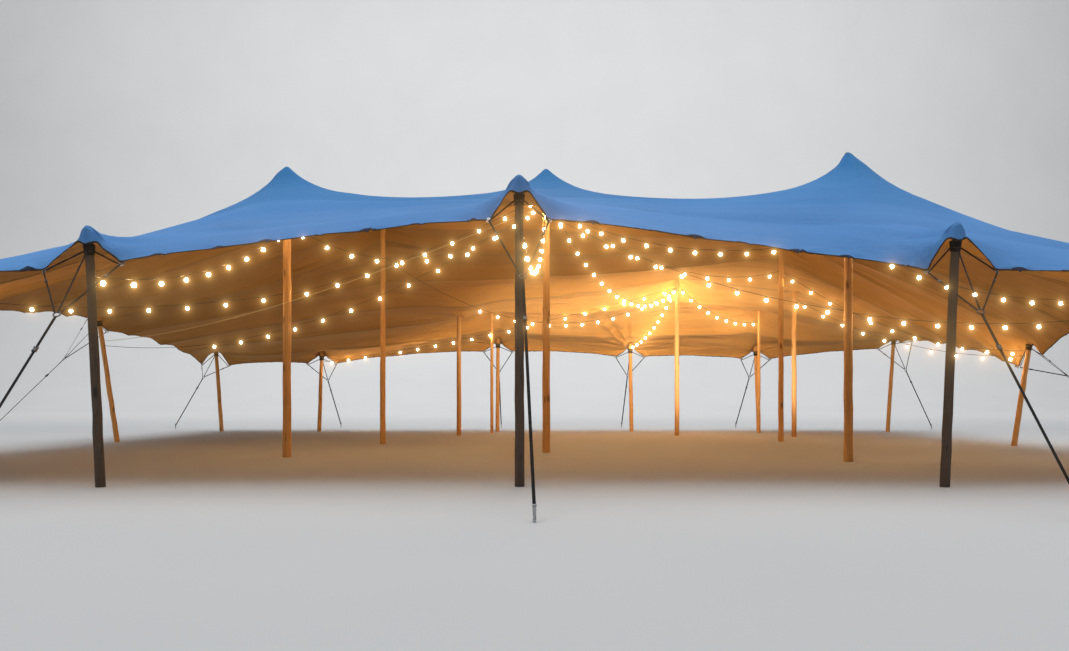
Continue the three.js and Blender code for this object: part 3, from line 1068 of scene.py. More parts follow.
class Canopy:
    """The stretch fabric: one continuous sheet, form-found between poles and hem corners."""

    COLUMNS = 34
    ROWS = 28
    FINE = 5
    THICKNESS = 0.003
    PANEL_ROWS = 12
    START_HEIGHT = 3.3
    # How near to a line of the fine grid a vertex counts as lying on it, in cells
    ON_LINE = 1e-3
    EDGE_TENSION = 16.0
    PEAK_TENSION = 0.18
    PEAK_REACH = 2.4
    PEAK_SLOPE = 1.0
    PEAK_ROUNDING = 0.035
    PEAK_CORE = 0.25
    TAB_SPACING = 0.58
    BELLY = 0.055
    FOLD = 0.013
    PUCKER = 0.045
    PUCKER_FADE = 0.17
    SWEEPS = {1: 600, FINE: 420}
    PUSH = {1: 1.85, FINE: 1.93}
    # How far each pass that halves the faces reaches: cells from a peak, cells from the hem and metres along
    # a fold
    PASSES = ((3.4, 2.0, 2.2), (1.8, 0.5, 1.3))
    # Where fabric is gathered towards an edge pole: the pole, the folds' heading from it, their height and
    # their number
    GATHERS = (
        ("back_middle", -2.0, 0.075, 23.0), ("back_middle", -1.20, 0.020, 13.0),
        ("back_centre", -1.45, 0.024, 13.0), ("left_middle", -0.45, 0.030, 13.0),
        ("left_front", 0.35, 0.028, 11.0), ("right_middle", 2.75, 0.024, 13.0),
        ("front_left", 1.05, 0.022, 9.0), ("front_right", 2.2, 0.022, 9.0),
    )
    GATHER_RISE = 0.7
    GATHER_FADE = 2.4
    GATHER_WIDTH = 0.32
    # The folds that run out of hem corners, hoods and peaks: height, fade and number round the whole turn
    CORNER_FOLDS = (0.010, 0.34, 11.0)
    HOOD_FOLDS = ((0.004, 0.42, 9.0), (0.024, 1.3, 6.0))
    PEAK_FOLDS = ((0.008, 0.5, 10), (0.016, 1.5, 7))

    def __init__(self, inner: dict[str, Pole], edge: dict[str, EdgePole]) -> None:
        """Take the poles and find the form.

        Args:
            inner: the poles under the canopy, by name.
            edge: the poles at its edge, by name.
        """
        self.inner = inner
        self.edge = edge
        rough = self.form(1, None)
        self.nodes = self.form(self.FINE, rough)
        self.cells = np.zeros((0, 2))
        self.points = np.zeros((0, 3))
        self.normals = np.zeros((0, 3))

    def spot(self, place: Vector, fine: int = 1) -> tuple[int, int]:
        """Return the column and row that a place is nearest to.

        Args:
            place: a point, in metres.
            fine: how many fine cells there are in a rough one.

        Returns:
            The column and the row.
        """
        column = ((place.x - CUT_CENTRE.x) / CUT_HALF_WIDTH + 1) / 2 * self.COLUMNS * fine
        row = ((place.y - CUT_CENTRE.y) / CUT_HALF_DEPTH + 1) / 2 * self.ROWS * fine
        return math.floor(column + 0.5 + 1e-6), math.floor(row + 0.5 + 1e-6)

    def edge_spot(self, pole: EdgePole) -> tuple[int, int]:
        """Return the column and row on the hem in front of an edge pole."""
        across, deep = pole.side.value
        column, row = self.spot(pole.head)
        if across:
            column = self.COLUMNS if across > 0 else 0
        if deep:
            row = self.ROWS if deep > 0 else 0
        return column, row

    def held(self, fine: int) -> dict[tuple[int, int], Vector]:
        """Return the grid nodes that poles and guy legs hold.

        Args:
            fine: how many fine cells there are in a rough one.

        Returns:
            The place of each held node.
        """
        places = {}
        for pole in self.inner.values():
            places[self.spot(pole.foot, fine)] = Vector((pole.foot.x, pole.foot.y, pole.top))
        for pole in self.edge.values():
            across, deep = pole.side.value
            column, row = (value * fine for value in self.edge_spot(pole))
            steps = ((-across, 0), (0, -deep)) if across and deep else ((deep, across), (-deep, -across))
            for step in steps:
                onward = Vector((*step, 0.0)).dot(pole.along) > 0
                places[column + step[0] * fine, row + step[1] * fine] = pole.corners[onward]
                for deeper in range(fine + 1):
                    inside = (column - across * deeper, row - deep * deeper)
                    share = 1 - deeper / fine
                    places[inside] = pole.hood(0.0, share)
                    if fine > 1:
                        for far in (1, 2):
                            beside = (inside[0] + step[0] * far, inside[1] + step[1] * far)
                            places[beside] = pole.hood(far if onward else -far, share)
        return places

    def form(self, fine: int, rough: np.ndarray | None) -> np.ndarray:
        """Find the balanced shape: first the plan, then the heights with the peaks drawn up.

        Args:
            fine: how many fine cells there are in a rough one.
            rough: the balanced rough grid to start from, or None.

        Returns:
            An array of columns by rows by three.
        """
        columns, rows = self.COLUMNS * fine, self.ROWS * fine
        if rough is None:
            u, v = np.meshgrid(np.linspace(-1, 1, columns + 1), np.linspace(-1, 1, rows + 1), indexing="ij")
            x, y = CUT_CENTRE.x + CUT_HALF_WIDTH * u, CUT_CENTRE.y + CUT_HALF_DEPTH * v
            nodes = np.stack([x, y, np.full_like(x, self.START_HEIGHT)], -1)
        else:
            u, v = np.meshgrid(np.arange(columns + 1) / fine, np.arange(rows + 1) / fine, indexing="ij")
            nodes = bicubic(rough, u, v)
        free = np.ones((columns + 1, rows + 1), bool)
        peaks = {self.spot(pole.foot, fine) for pole in self.inner.values()}
        for spot, place in self.held(fine).items():
            plan = nodes[spot][:2].copy()
            nodes[spot] = place
            if fine == 1 and spot in peaks:
                nodes[spot][:2] = plan
            free[spot] = False
        along_x = np.ones((columns, rows + 1))
        along_y = np.ones((columns + 1, rows))
        along_x[:, [0, -1]] = self.EDGE_TENSION * fine
        along_y[[0, -1]] = self.EDGE_TENSION * fine
        sweeps, push = self.SWEEPS[fine], self.PUSH[fine]
        relax(nodes[..., :2], along_x, along_y, free, sweeps, push)
        along_x *= self.draw(nodes[:-1], nodes[1:])
        along_y *= self.draw(nodes[:, :-1], nodes[:, 1:])
        if fine > 1:
            for pole in self.inner.values():
                column, row = self.spot(pole.foot, fine)
                for across in (-1, 0, 1):
                    for deep in (-1, 0, 1):
                        node = nodes[column + across, row + deep]
                        away = math.hypot(node[0] - pole.foot.x, node[1] - pole.foot.y)
                        node[2] = pole.top - self.peak_drop(away)
                        free[column + across, row + deep] = False
        relax(nodes[..., 2:], along_x, along_y, free, sweeps, push)
        return nodes

    def peak_drop(self, away: float) -> float:
        """Return how far the rounded peak has dropped at a distance from its pole."""
        return self.PEAK_SLOPE * (math.hypot(away, self.PEAK_ROUNDING) - self.PEAK_ROUNDING)

    def draw(self, start: np.ndarray, end: np.ndarray) -> np.ndarray:
        """Return how much more each link pulls where a pole draws the fabric up.

        Args:
            start: the first node of each link.
            end: the second node of each link.

        Returns:
            The factor on each link's tension.
        """
        middle, run = (start[..., :2] + end[..., :2]) / 2, end[..., :2] - start[..., :2]
        length = np.linalg.norm(run, axis=-1)
        extra = np.zeros_like(length)
        for pole in self.inner.values():
            away = middle - np.array(pole.foot[:2])
            distance = np.linalg.norm(away, axis=-1) + 0.001
            cosine = (away * run).sum(-1) / (distance * length)
            strength = self.PEAK_REACH / np.maximum(distance, self.PEAK_CORE) - 1
            extra += cosine**2 * np.maximum(0.0, strength)
        return 1 + self.PEAK_TENSION * extra

    def build(self, finishes: Finishes) -> bpy.types.Object:
        """Model the sheet: a grid is subdivided where it bends, laid on the form, creased and thickened.

        Args:
            finishes: the tent's finishes.

        Returns:
            The finished piece.
        """
        deselect()
        bpy.ops.mesh.primitive_grid_add(
            x_subdivisions=self.COLUMNS * self.FINE, y_subdivisions=self.ROWS * self.FINE, size=2.0
        )
        sheet = bpy.context.object
        sheet.name = "canopy_sheet"
        for reach, rim, folds in self.PASSES:
            self.refine(sheet, reach, rim, folds)
        flat = np.zeros(len(sheet.data.vertices) * 3, np.float32)
        sheet.data.vertices.foreach_get("co", flat)
        flat = flat.reshape(-1, 3).astype(float)
        u = (flat[:, 0] + 1) / 2 * self.COLUMNS * self.FINE
        v = (flat[:, 1] + 1) / 2 * self.ROWS * self.FINE
        self.cells = np.stack([u, v], axis=1)
        laid = bicubic(self.nodes, u, v)
        self.write(sheet, laid)
        laid += self.creases(laid) * self.normals
        self.clear_poles(laid)
        self.write(sheet, laid)
        cut = sheet.data.uv_layers[0] if sheet.data.uv_layers else sheet.data.uv_layers.new(name="cut")
        corner_vertex = np.zeros(len(sheet.data.loops), np.int32)
        sheet.data.loops.foreach_get("vertex_index", corner_vertex)
        size = 2 * np.array([CUT_HALF_WIDTH / self.COLUMNS, CUT_HALF_DEPTH / self.ROWS]) / self.FINE
        cut.data.foreach_set("uv", (self.cells[corner_vertex] * size).astype(np.float32).ravel())
        sheet.data.materials.append(finishes.outer)
        sheet.data.materials.append(finishes.inner)
        with editing(sheet):
            bpy.ops.mesh.quads_convert_to_tris(quad_method="BEAUTY", ngon_method="BEAUTY")
        bpy.ops.object.shade_smooth()
        modified(sheet, "SOLIDIFY", thickness=self.THICKNESS, offset=0.0, material_offset=1)
        ride(sheet, "canopy_fabric", "canopy")
        return sheet

    def clear_poles(self, places: np.ndarray) -> None:
        """Lift the fabric clear of the poles' rounded heads.

        Args:
            places: one row for each vertex, changed in place.
        """
        for pole in (*self.inner.values(), *self.edge.values()):
            crown = pole.at(pole.tip.z)
            away = np.hypot(places[:, 0] - crown.x, places[:, 1] - crown.y)
            cap = crown.z + pole.FABRIC_ABOVE - 0.6 * away**2 / pole.head_radius
            near = away < 1.2 * pole.head_radius
            places[near, 2] = np.maximum(places[near, 2], cap[near])

    def refine(self, sheet: bpy.types.Object, reach: float, rim: float, folds: float) -> None:
        """Subdivide the faces near peaks, hoods, gathered folds and the hem.

        Args:
            sheet: the flat grid, two units wide and deep.
            reach: how many fine cells from a peak or hood the faces lie.
            rim: how many fine cells from the hem they lie.
            folds: how many metres from its pole a deep fold's faces lie.
        """
        half = np.array([self.COLUMNS * self.FINE / 2, self.ROWS * self.FINE / 2])
        centres = np.array([tuple(face.center)[:2] for face in sheet.data.polygons])
        centres = (centres + 1) * half
        near = np.minimum(centres, 2 * half - centres).min(axis=1) < rim
        for pole in self.inner.values():
            near |= np.abs(centres - self.spot(pole.foot, self.FINE)).max(axis=1) < reach
        for pole in self.edge.values():
            hood = np.array(self.edge_spot(pole)) * self.FINE - 0.5 * self.FINE * np.array(pole.side.value)
            near |= np.abs(centres - hood).max(axis=1) < 1.25 * reach
        for name, heading, height, _ in self.GATHERS:
            head = np.array(self.edge_spot(self.edge[name])) * self.FINE
            away = (centres - head) * CUT_HALF_WIDTH / half[0]
            turned = np.exp(1j * (np.arctan2(away[:, 1], away[:, 0]) - heading))
            within = np.linalg.norm(away, axis=1) < folds * min(1.0, height / 0.05)
            near |= within & (np.abs(np.angle(turned)) < 0.5)
        with picking(sheet, "FACE", near):
            bpy.ops.mesh.subdivide(number_cuts=1)

    def write(self, sheet: bpy.types.Object, places: np.ndarray) -> None:
        """Put the sheet's vertices in place and read its normals back.

        Args:
            sheet: the canopy object.
            places: one row for each vertex.
        """
        sheet.data.vertices.foreach_set("co", places.astype(np.float32).ravel())
        sheet.data.update()
        normals = np.zeros(len(places) * 3, np.float32)
        sheet.data.vertex_normals.foreach_get("vector", normals)
        self.points, self.normals = places.copy(), normals.reshape(-1, 3).astype(float)

    def creases(self, places: np.ndarray) -> np.ndarray:
        """Return the height of the tension folds that run out of hem corners, hoods and peaks.

        Args:
            places: one row for each vertex.

        Returns:
            The offset along the normal for each vertex, as a column.
        """
        lift = self.bellies(places) + self.puckers(places)
        for name, heading, height, count in self.GATHERS:
            away = places - np.array(self.edge[name].head)
            distance = np.linalg.norm(away[:, :2], axis=1)
            angle = np.arctan2(away[:, 1], away[:, 0]) - heading
            angle = (angle + math.pi) % (2 * math.pi) - math.pi
            fade = np.exp(-distance / self.GATHER_FADE - (angle / self.GATHER_WIDTH) ** 2)
            swell = np.clip(distance / self.GATHER_RISE, 0, 1) ** 2 * fade
            lift += height * swell * (np.cos(count * angle) + 0.4 * np.cos(1.7 * count * angle + 1.0))
        for number, pole in enumerate(self.edge.values()):
            sources = [(corner, *self.CORNER_FOLDS) for corner in pole.corners]
            sources += [(pole.head, *folds) for folds in self.HOOD_FOLDS]
            for turn, (source, height, fade, count) in enumerate(sources):
                away = places - np.array(source)
                distance = np.linalg.norm(away, axis=1)
                angle = np.arctan2(away @ np.array(pole.along), -(away @ np.array(pole.out)))
                swell = np.clip(distance / (0.3 * fade), 0, 1) ** 2 * np.exp(-distance / fade)
                lift += height * swell * np.cos(count * angle + 1.7 * number + 0.9 * turn)
        for number, pole in enumerate(self.inner.values()):
            away = places[:, :2] - np.array(pole.foot[:2])
            distance = np.linalg.norm(away, axis=1)
            angle = np.arctan2(away[:, 1], away[:, 0])
            for height, fade, count in self.PEAK_FOLDS:
                swell = np.clip(distance / (0.6 * fade), 0, 1) ** 2 * np.exp(-distance / fade)
                lift += height * swell * np.cos(count * angle + 2.1 * number)
        return lift[:, None]

    def from_poles(self, places: np.ndarray) -> np.ndarray:
        """Return each place's distance in plan from the nearest pole."""
        heads = np.array([tuple(pole.tip)[:2] for pole in (*self.inner.values(), *self.edge.values())])
        return np.linalg.norm(places[:, None, :2] - heads, axis=2).min(axis=1)

    def bellies(self, places: np.ndarray) -> np.ndarray:
        """Return how far each panel swells between its stiff seams, with long soft folds along it.

        Args:
            places: one row for each vertex.

        Returns:
            The offset along the normal for each vertex.
        """
        rows = np.array([0, *self.seam_rows(), self.ROWS * self.FINE + 1], float)
        row = self.cells[:, 1]
        panel = np.clip(np.searchsorted(rows, row, side="right") - 1, 0, len(rows) - 2)
        share = (row - rows[panel]) / (rows[panel + 1] - rows[panel])
        x, y = places[:, 0], places[:, 1]
        patches = (0.5 + 0.5 * np.sin(0.43 * x + 0.8 * y + 1.0), 0.5 + 0.5 * np.sin(0.6 * y - 0.5 * x))
        folds = np.sin(6.1 * y + 0.9 * np.sin(0.7 * x) + 0.5 * x) * patches[0]
        folds += 0.6 * np.sin(10.3 * y - 0.35 * x + 1.2 * np.sin(0.9 * x + 2.0)) * patches[1]
        calm = np.clip(self.from_poles(places) / 1.1, 0, 1) ** 2
        return calm * (4 * self.BELLY * share * (1 - share) + self.FOLD * folds)

    def puckers(self, places: np.ndarray) -> np.ndarray:
        """Return the small wrinkles that each hem tab pulls in the fabric.

        Args:
            places: one row for each vertex.

        Returns:
            The offset along the normal for each vertex.
        """
        line, _, inward = self.hem_line()
        ahead = unit(way_round(line))
        lift = np.zeros(len(places))
        for number, index in enumerate(self.tab_marks(line)):
            near = np.flatnonzero(np.abs(places - line[index]).max(axis=1) < 0.6)
            away = places[near] - line[index]
            distance = np.linalg.norm(away, axis=1)
            angle = np.arctan2(away @ ahead[index], away @ inward[index])
            swell = np.clip(distance / 0.05, 0, 1) * np.exp(-distance / self.PUCKER_FADE)
            lift[near] += self.PUCKER * swell * (np.abs(np.cos(2 * angle + 1.3 * number)) - 0.6)
        return lift

    def tab_marks(self, line: np.ndarray) -> list[int]:
        """Return which points of the hem carry a tab, clear of the hoods.

        Args:
            line: the hem's points.

        Returns:
            The points' numbers along the hem.
        """
        lengths = travelled(line)
        heads = np.array([tuple(pole.head)[:2] for pole in self.edge.values()])
        marks = []
        for number in range(int(lengths[-1] / self.TAB_SPACING)):
            index = int(np.searchsorted(lengths, (number + 0.5) * self.TAB_SPACING))
            if np.linalg.norm(heads - line[index][:2], axis=1).min() > 0.5:
                marks.append(index)
        return marks

    def seam_rows(self) -> list[int]:
        """Return the row of the fine grid that each welded seam runs along."""
        return list(range(self.PANEL_ROWS, self.ROWS * self.FINE - 2, self.PANEL_ROWS))

    def hem_line(self) -> tuple[np.ndarray, np.ndarray, np.ndarray]:
        """Return the hem once round: its points, its surface normals and its inward directions."""
        last = np.array([self.COLUMNS * self.FINE, self.ROWS * self.FINE], float)
        u, v = self.cells[:, 0], self.cells[:, 1]
        sides = [
            (np.flatnonzero(v < self.ON_LINE), u, 1), (np.flatnonzero(u > last[0] - self.ON_LINE), v, 1),
            (np.flatnonzero(v > last[1] - self.ON_LINE), u, -1), (np.flatnonzero(u < self.ON_LINE), v, -1),
        ]
        order = []
        for members, key, sign in sides:
            order += list(members[np.argsort(sign * key[members])])[:-1]
        line, normals = self.points[order], self.normals[order]
        return line, normals, unit(np.cross(normals, way_round(line)))

    def seam_lines(self) -> list[tuple[np.ndarray, np.ndarray]]:
        """Return each welded seam from the left hem to the right hem: its points and its surface normals."""
        lines = []
        for row in self.seam_rows():
            members = np.flatnonzero(np.abs(self.cells[:, 1] - row) < self.ON_LINE)
            members = members[np.argsort(self.cells[members, 0])]
            lines.append((self.points[members], self.normals[members]))
        return lines


def bicubic(grid: np.ndarray, u: np.ndarray, v: np.ndarray) -> np.ndarray:
    """Return a smooth surface through a grid's nodes, at fractions of its columns and rows.

    Args:
        grid: columns by rows by three.
        u: the column of each wanted point.
        v: the row of each wanted point.

    Returns:
        The points, in the shape of u with three last.
    """
    wide = np.concatenate([2 * grid[:1] - grid[1:2], grid, 2 * grid[-1:] - grid[-2:-1]], axis=0)
    wide = np.concatenate([2 * wide[:, :1] - wide[:, 1:2], wide, 2 * wide[:, -1:] - wide[:, -2:-1]], axis=1)
    i = np.clip(np.floor(u).astype(int), 0, grid.shape[0] - 2)
    j = np.clip(np.floor(v).astype(int), 0, grid.shape[1] - 2)

    def weights(t: np.ndarray) -> list[np.ndarray]:
        """Return the four weights of a smooth curve through its middle two nodes."""
        return [
            0.5 * (-t + 2 * t**2 - t**3), 0.5 * (2 - 5 * t**2 + 3 * t**3),
            0.5 * (t + 4 * t**2 - 3 * t**3), 0.5 * (-(t**2) + t**3),
        ]

    made = np.zeros((*u.shape, 3))
    for a, across in enumerate(weights(u - i)):
        for b, deep in enumerate(weights(v - j)):
            made += (across * deep)[..., None] * wide[i + a, j + b]
    return made


def relax(values: np.ndarray, along_x: np.ndarray, along_y: np.ndarray, free: np.ndarray, sweeps: int,
          push: float, calm: int = 60) -> None:
    """Move each free node to the balance point of its links, again and again, in place.

    Args:
        values: columns by rows by the axes to balance.
        along_x: the tension of each link between columns.
        along_y: the tension of each link between rows.
        free: whether each node may move.
        sweeps: how often all nodes move.
        push: how far a node overshoots its balance point.
        calm: how many of the last sweeps don't overshoot.
    """
    total = np.zeros(free.shape)
    total[:-1] += along_x
    total[1:] += along_x
    total[:, :-1] += along_y
    total[:, 1:] += along_y
    column, row = np.indices(free.shape)
    turns = [free & ((column + row) % 2 == parity) for parity in (0, 1)]
    wide_x, wide_y = along_x[..., None], along_y[..., None]
    pull = np.empty_like(values)
    for sweep in range(sweeps):
        reach = push if sweep < sweeps - calm else 1.0
        for turn in turns:
            pull[:] = 0.0
            pull[:-1] += wide_x * values[1:]
            pull[1:] += wide_x * values[:-1]
            pull[:, :-1] += wide_y * values[:, 1:]
            pull[:, 1:] += wide_y * values[:, :-1]
            values[turn] += reach * (pull[turn] / total[turn][:, None] - values[turn])


@dataclass
class HemTrim:
    """What is sewn to the canopy: the bound hem, its webbing tabs and the seam tapes underneath.

    Attributes:
        canopy: the built canopy.
        binding_width: the width of the hem binding.
        patch_length: how long the patch under each tab is.
        patch_width: how wide it is.
        tape_width: the width of the tapes under the seams.
        clearance: how far the trim's middle lies off the fabric.
    """

    canopy: Canopy
    binding_width: float = 0.022
    patch_length: float = 0.20
    patch_width: float = 0.034
    tape_width: float = 0.055
    clearance: float = 0.0022

    def binding(self, finishes: Finishes) -> bpy.types.Object:
        """Model the dark binding that is folded round the raw edge.

        Args:
            finishes: the tent's finishes.

        Returns:
            The finished piece.
        """
        line, _, inward = self.canopy.hem_line()
        outline = round_outline(self.binding_width / 2, 0.0050, 10)
        piece = swept("hem_binding", line + 0.3 * self.binding_width * inward, inward, outline, True)
        piece.data.materials.append(finishes.hem)
        return ride(smoothed(piece, 80), "webbing")

    def tabs(self, finishes: Finishes) -> bpy.types.Object:
        """Model the hem tabs: a tapered patch sewn along the hem, and a loop folded over its edge.

        Args:
            finishes: the tent's finishes.

        Returns:
            The finished piece.
        """
        line, normals, inward = self.canopy.hem_line()
        lengths = travelled(line)
        taper = np.array([0.15, 0.55, 0.85, 0.97, 1.0, 0.97, 0.85, 0.55, 0.15])
        tab = self.tab_template()
        copies = []
        for index in self.canopy.tab_marks(line):
            matrix = framed(Vector(line[index]), Vector(-inward[index]), Vector(normals[index]))
            copies.append(placed(tab, matrix))
            stops = lengths[index] + self.patch_length * np.linspace(-0.5, 0.5, len(taper))
            spine, up, side = (
                np.stack([np.interp(stops, lengths, values[:, axis]) for axis in range(3)], axis=1)
                for values in (line, normals, inward)
            )
            spine = spine + side * (0.012 + 0.017 * taper[:, None])
            spine = spine + up * (self.canopy.THICKNESS / 2 + self.clearance)
            copies.append(swept("patch", spine, side, flat_outline(self.patch_width, 0.003), False, taper))
        piece = joined("hem_tabs", copies)
        bpy.data.objects.remove(tab)
        piece.data.materials.append(finishes.patch)
        return ride(piece, "webbing")

    def tab_template(self) -> bpy.types.Object:
        """Model one tab: a strip on the fabric, folded over the binding, its X pointing out of the hem."""
        deselect()
        bpy.ops.mesh.primitive_cube_add(size=1.0, location=(-0.016, 0.0, 0.0045), scale=(0.045, 0.026, 0.006))
        strip = settle(bpy.context.object)
        with picking(strip, "FACE", [face.normal.x > 0.9 for face in strip.data.polygons]):
            bpy.ops.mesh.extrude_region_move(TRANSFORM_OT_translate={"value": (0.011, 0.0, -0.006)})
            bpy.ops.transform.resize(value=(1.0, 0.9, 1.5))
        return outward(modified(strip, "BEVEL", width=0.002, segments=1))

    def seam_tapes(self, finishes: Finishes) -> bpy.types.Object:
        """Model the tapes welded under the seams between the fabric's panels.

        Args:
            finishes: the tent's finishes.

        Returns:
            The finished piece.
        """
        tapes = []
        for line, normals in self.canopy.seam_lines():
            ahead = np.gradient(line, axis=0)
            across = np.cross(normals, ahead)
            under = line - normals * (self.canopy.THICKNESS / 2 + self.clearance)
            tapes.append(swept("tape", under, across, flat_outline(self.tape_width, 0.0022), False))
        piece = joined("seam_tapes", tapes)
        piece.data.materials.append(finishes.seam)
        return ride(smoothed(piece, 40), "canopy_fabric")


@dataclass
class GuyLine:
    """The rigging of one edge pole: band, head straps, bridle legs, ring, tail with its ratchet, and stake.

    Attributes:
        pole: the edge pole.
        stake_aside: how far the stake stands aside.
        ring_aside: how far the ring hangs aside of the line from the stake to the band.
        stake_distance: how far out of the pole's foot the stake stands.
        tie_height: where the tail is tied on the stake.
        ring_share: the ring's place on the line from the tie to the band.
        ring_radius: the radius of the steel ring.
        band_drop: how far the band lies below the canopy.
        leg_width: the width of the bridle's straps.
        tail_width: the width of the tail strap.
        head_width: the width of the head straps.
        sewn: how long a strap's doubled end is.
    """

    # Each turn of the wound band: how far below the canopy, its tilt, and its width as a share of the pole's
    WRAPS = ((0.222, 0.10, 1.26), (0.259, -0.14, 1.17), (0.300, 0.08, 1.10))
    # Each ratchet's place, as a share of its strap, and its size
    TAIL_RATCHET = (0.2, 0.72)
    LEG_RATCHET = (0.24, 0.50)
    # Where the side legs meet the ring, from the direction of the pull
    LEG_ANGLE = 0.9
    # How thick a strap is, and how thick where it is sewn double
    STRAP_THICKNESS = 0.0035
    SEWN_THICKNESS = 0.0095

    pole: EdgePole
    stake_aside: float = 0.0
    ring_aside: float = 0.0
    stake_distance: float = 2.95
    tie_height: float = 0.09
    ring_share: float = 0.7
    ring_radius: float = 0.036
    band_drop: float = 0.28
    leg_width: float = 0.020
    tail_width: float = 0.030
    head_width: float = 0.018
    sewn: float = 0.13

    @property
    def band(self) -> Vector:
        """The pole's axis at the head band."""
        return self.pole.at(self.pole.top - self.band_drop)

    @property
    def tie(self) -> Vector:
        """The point where the tail is tied to the stake."""
        place = self.pole.foot + self.pole.out * self.stake_distance + self.pole.along * self.stake_aside
        return Vector((place.x, place.y, self.tie_height))

    @property
    def ring(self) -> Vector:
        """The middle of the steel ring."""
        return self.tie.lerp(self.band, self.ring_share) + self.pole.along * self.ring_aside

    def strap(self, start: Vector, end: Vector, width: float) -> bpy.types.Object:
        """Model one taut strap with sewn, doubled ends.

        Args:
            start: where it begins.
            end: where it ends.
            width: its width.

        Returns:
            The strap's object.
        """
        run = end - start
        wide = np.repeat(np.array(run.cross(self.pole.out).normalized())[None], 5, axis=0)
        doubled = min(0.4, self.sewn / run.length)
        parts = []
        for low, high in ((0.0, 1.0), (0.0, doubled), (1 - doubled, 1.0)):
            thickness = self.STRAP_THICKNESS if (low, high) == (0.0, 1.0) else self.SEWN_THICKNESS
            line = np.array([start.lerp(end, low + (high - low) * k / 4) for k in range(5)])
            parts.append(swept("strap", line, wide, flat_outline(width, thickness), False))
        return joined("strap", parts)

    def on_ring(self, angle: float) -> Vector:
        """Return the point of the ring at an angle from the pull's direction."""
        pull = (self.band - self.tie).normalized()
        return self.ring + (pull * math.cos(angle) + self.pole.along * math.sin(angle)) * self.ring_radius

    def on_band(self, target: Vector) -> Vector:
        """Return the point of the band that faces a target."""
        way = target - self.band
        way.z = 0.0
        return self.band + way.normalized() * (self.pole.head_radius + 0.012)

    def build(self, templates: "Hardware", finishes: Finishes) -> list[bpy.types.Object]:
        """Model the whole set.

        Args:
            templates: the modelled fittings to copy.
            finishes: the tent's finishes.

        Returns:
            The finished pieces.
        """
        name, pole = self.pole.name, self.pole
        straps = [
            self.strap(self.on_band(self.ring), self.on_ring(0.0), self.leg_width),
            self.strap(self.on_ring(math.pi), self.tie, self.tail_width),
        ]
        fittings = [placed(templates.ring, self.ring_matrix())]
        ratchets = [(self.on_ring(math.pi), self.tie, *self.TAIL_RATCHET)]
        for sign, corner in zip((-1, 1), pole.corners, strict=True):
            tied = corner + pole.out * 0.02 - Vector((0.0, 0.0, 0.03))
            end = self.on_ring(self.LEG_ANGLE * sign)
            straps.append(self.strap(tied, end, self.leg_width))
            straps.append(self.strap(self.on_band(tied), tied, self.head_width))
            ratchets.append((tied, end, *self.LEG_RATCHET))
            way = (end - tied).normalized()
            fittings.append(placed(templates.eye, framed(corner - Vector((0.0, 0.0, 0.02)), way, pole.out)))
        for start, end, share, size in ratchets:
            matrix = framed(start.lerp(end, share), end - start, pole.out)
            fittings.append(placed(templates.ratchet, matrix @ Matrix.Scale(size, 4)))
        stake = Matrix.Translation(Vector((self.tie.x, self.tie.y, 0.0)))
        turn = Matrix.Rotation(math.atan2(pole.out.y, pole.out.x), 4, "Z")
        fittings.append(placed(templates.stake, stake @ turn))
        webbing = joined(f"{name}_straps", straps)
        webbing.data.materials.append(finishes.webbing)
        band = self.wraps(templates)
        hardware = joined(f"{name}_fittings", fittings)
        return [
            ride(smoothed(webbing, 30), "webbing", f"{name}_guy_line"),
            ride(smoothed(band, 40), "webbing", f"{name}_guy_line"),
            ride(hardware, "fittings_steel", f"{name}_guy_line"),
        ]

    def ring_matrix(self) -> Matrix:
        """Return the place of the ring, which lies in the plane of its straps."""
        pull = (self.band - self.tie).normalized()
        return framed(self.ring, pull, self.pole.along.cross(pull))

    def wraps(self, templates: "Hardware") -> bpy.types.Object:
        """Model the strap wound round the pole's head and over the hood's lower edge.

        Args:
            templates: the modelled fittings to copy.

        Returns:
            The wound band.
        """
        turns = []
        axis = (self.pole.tip - self.pole.foot).normalized()
        for drop, tilt, swell in self.WRAPS:
            place = self.pole.at(self.pole.top - drop)
            lean = Matrix.Rotation(tilt, 4, self.pole.along)
            size = (self.pole.head_radius + 0.004) * swell
            facing = framed(place, axis.cross(self.pole.along), axis)
            scale = Matrix.Diagonal((size, size, 1.0, 1.0))
            tilted = Matrix.Translation(place) @ lean @ Matrix.Translation(-place)
            turns.append(placed(templates.wrap, tilted @ facing @ scale))
        return joined(f"{self.pole.name}_head_band", turns)


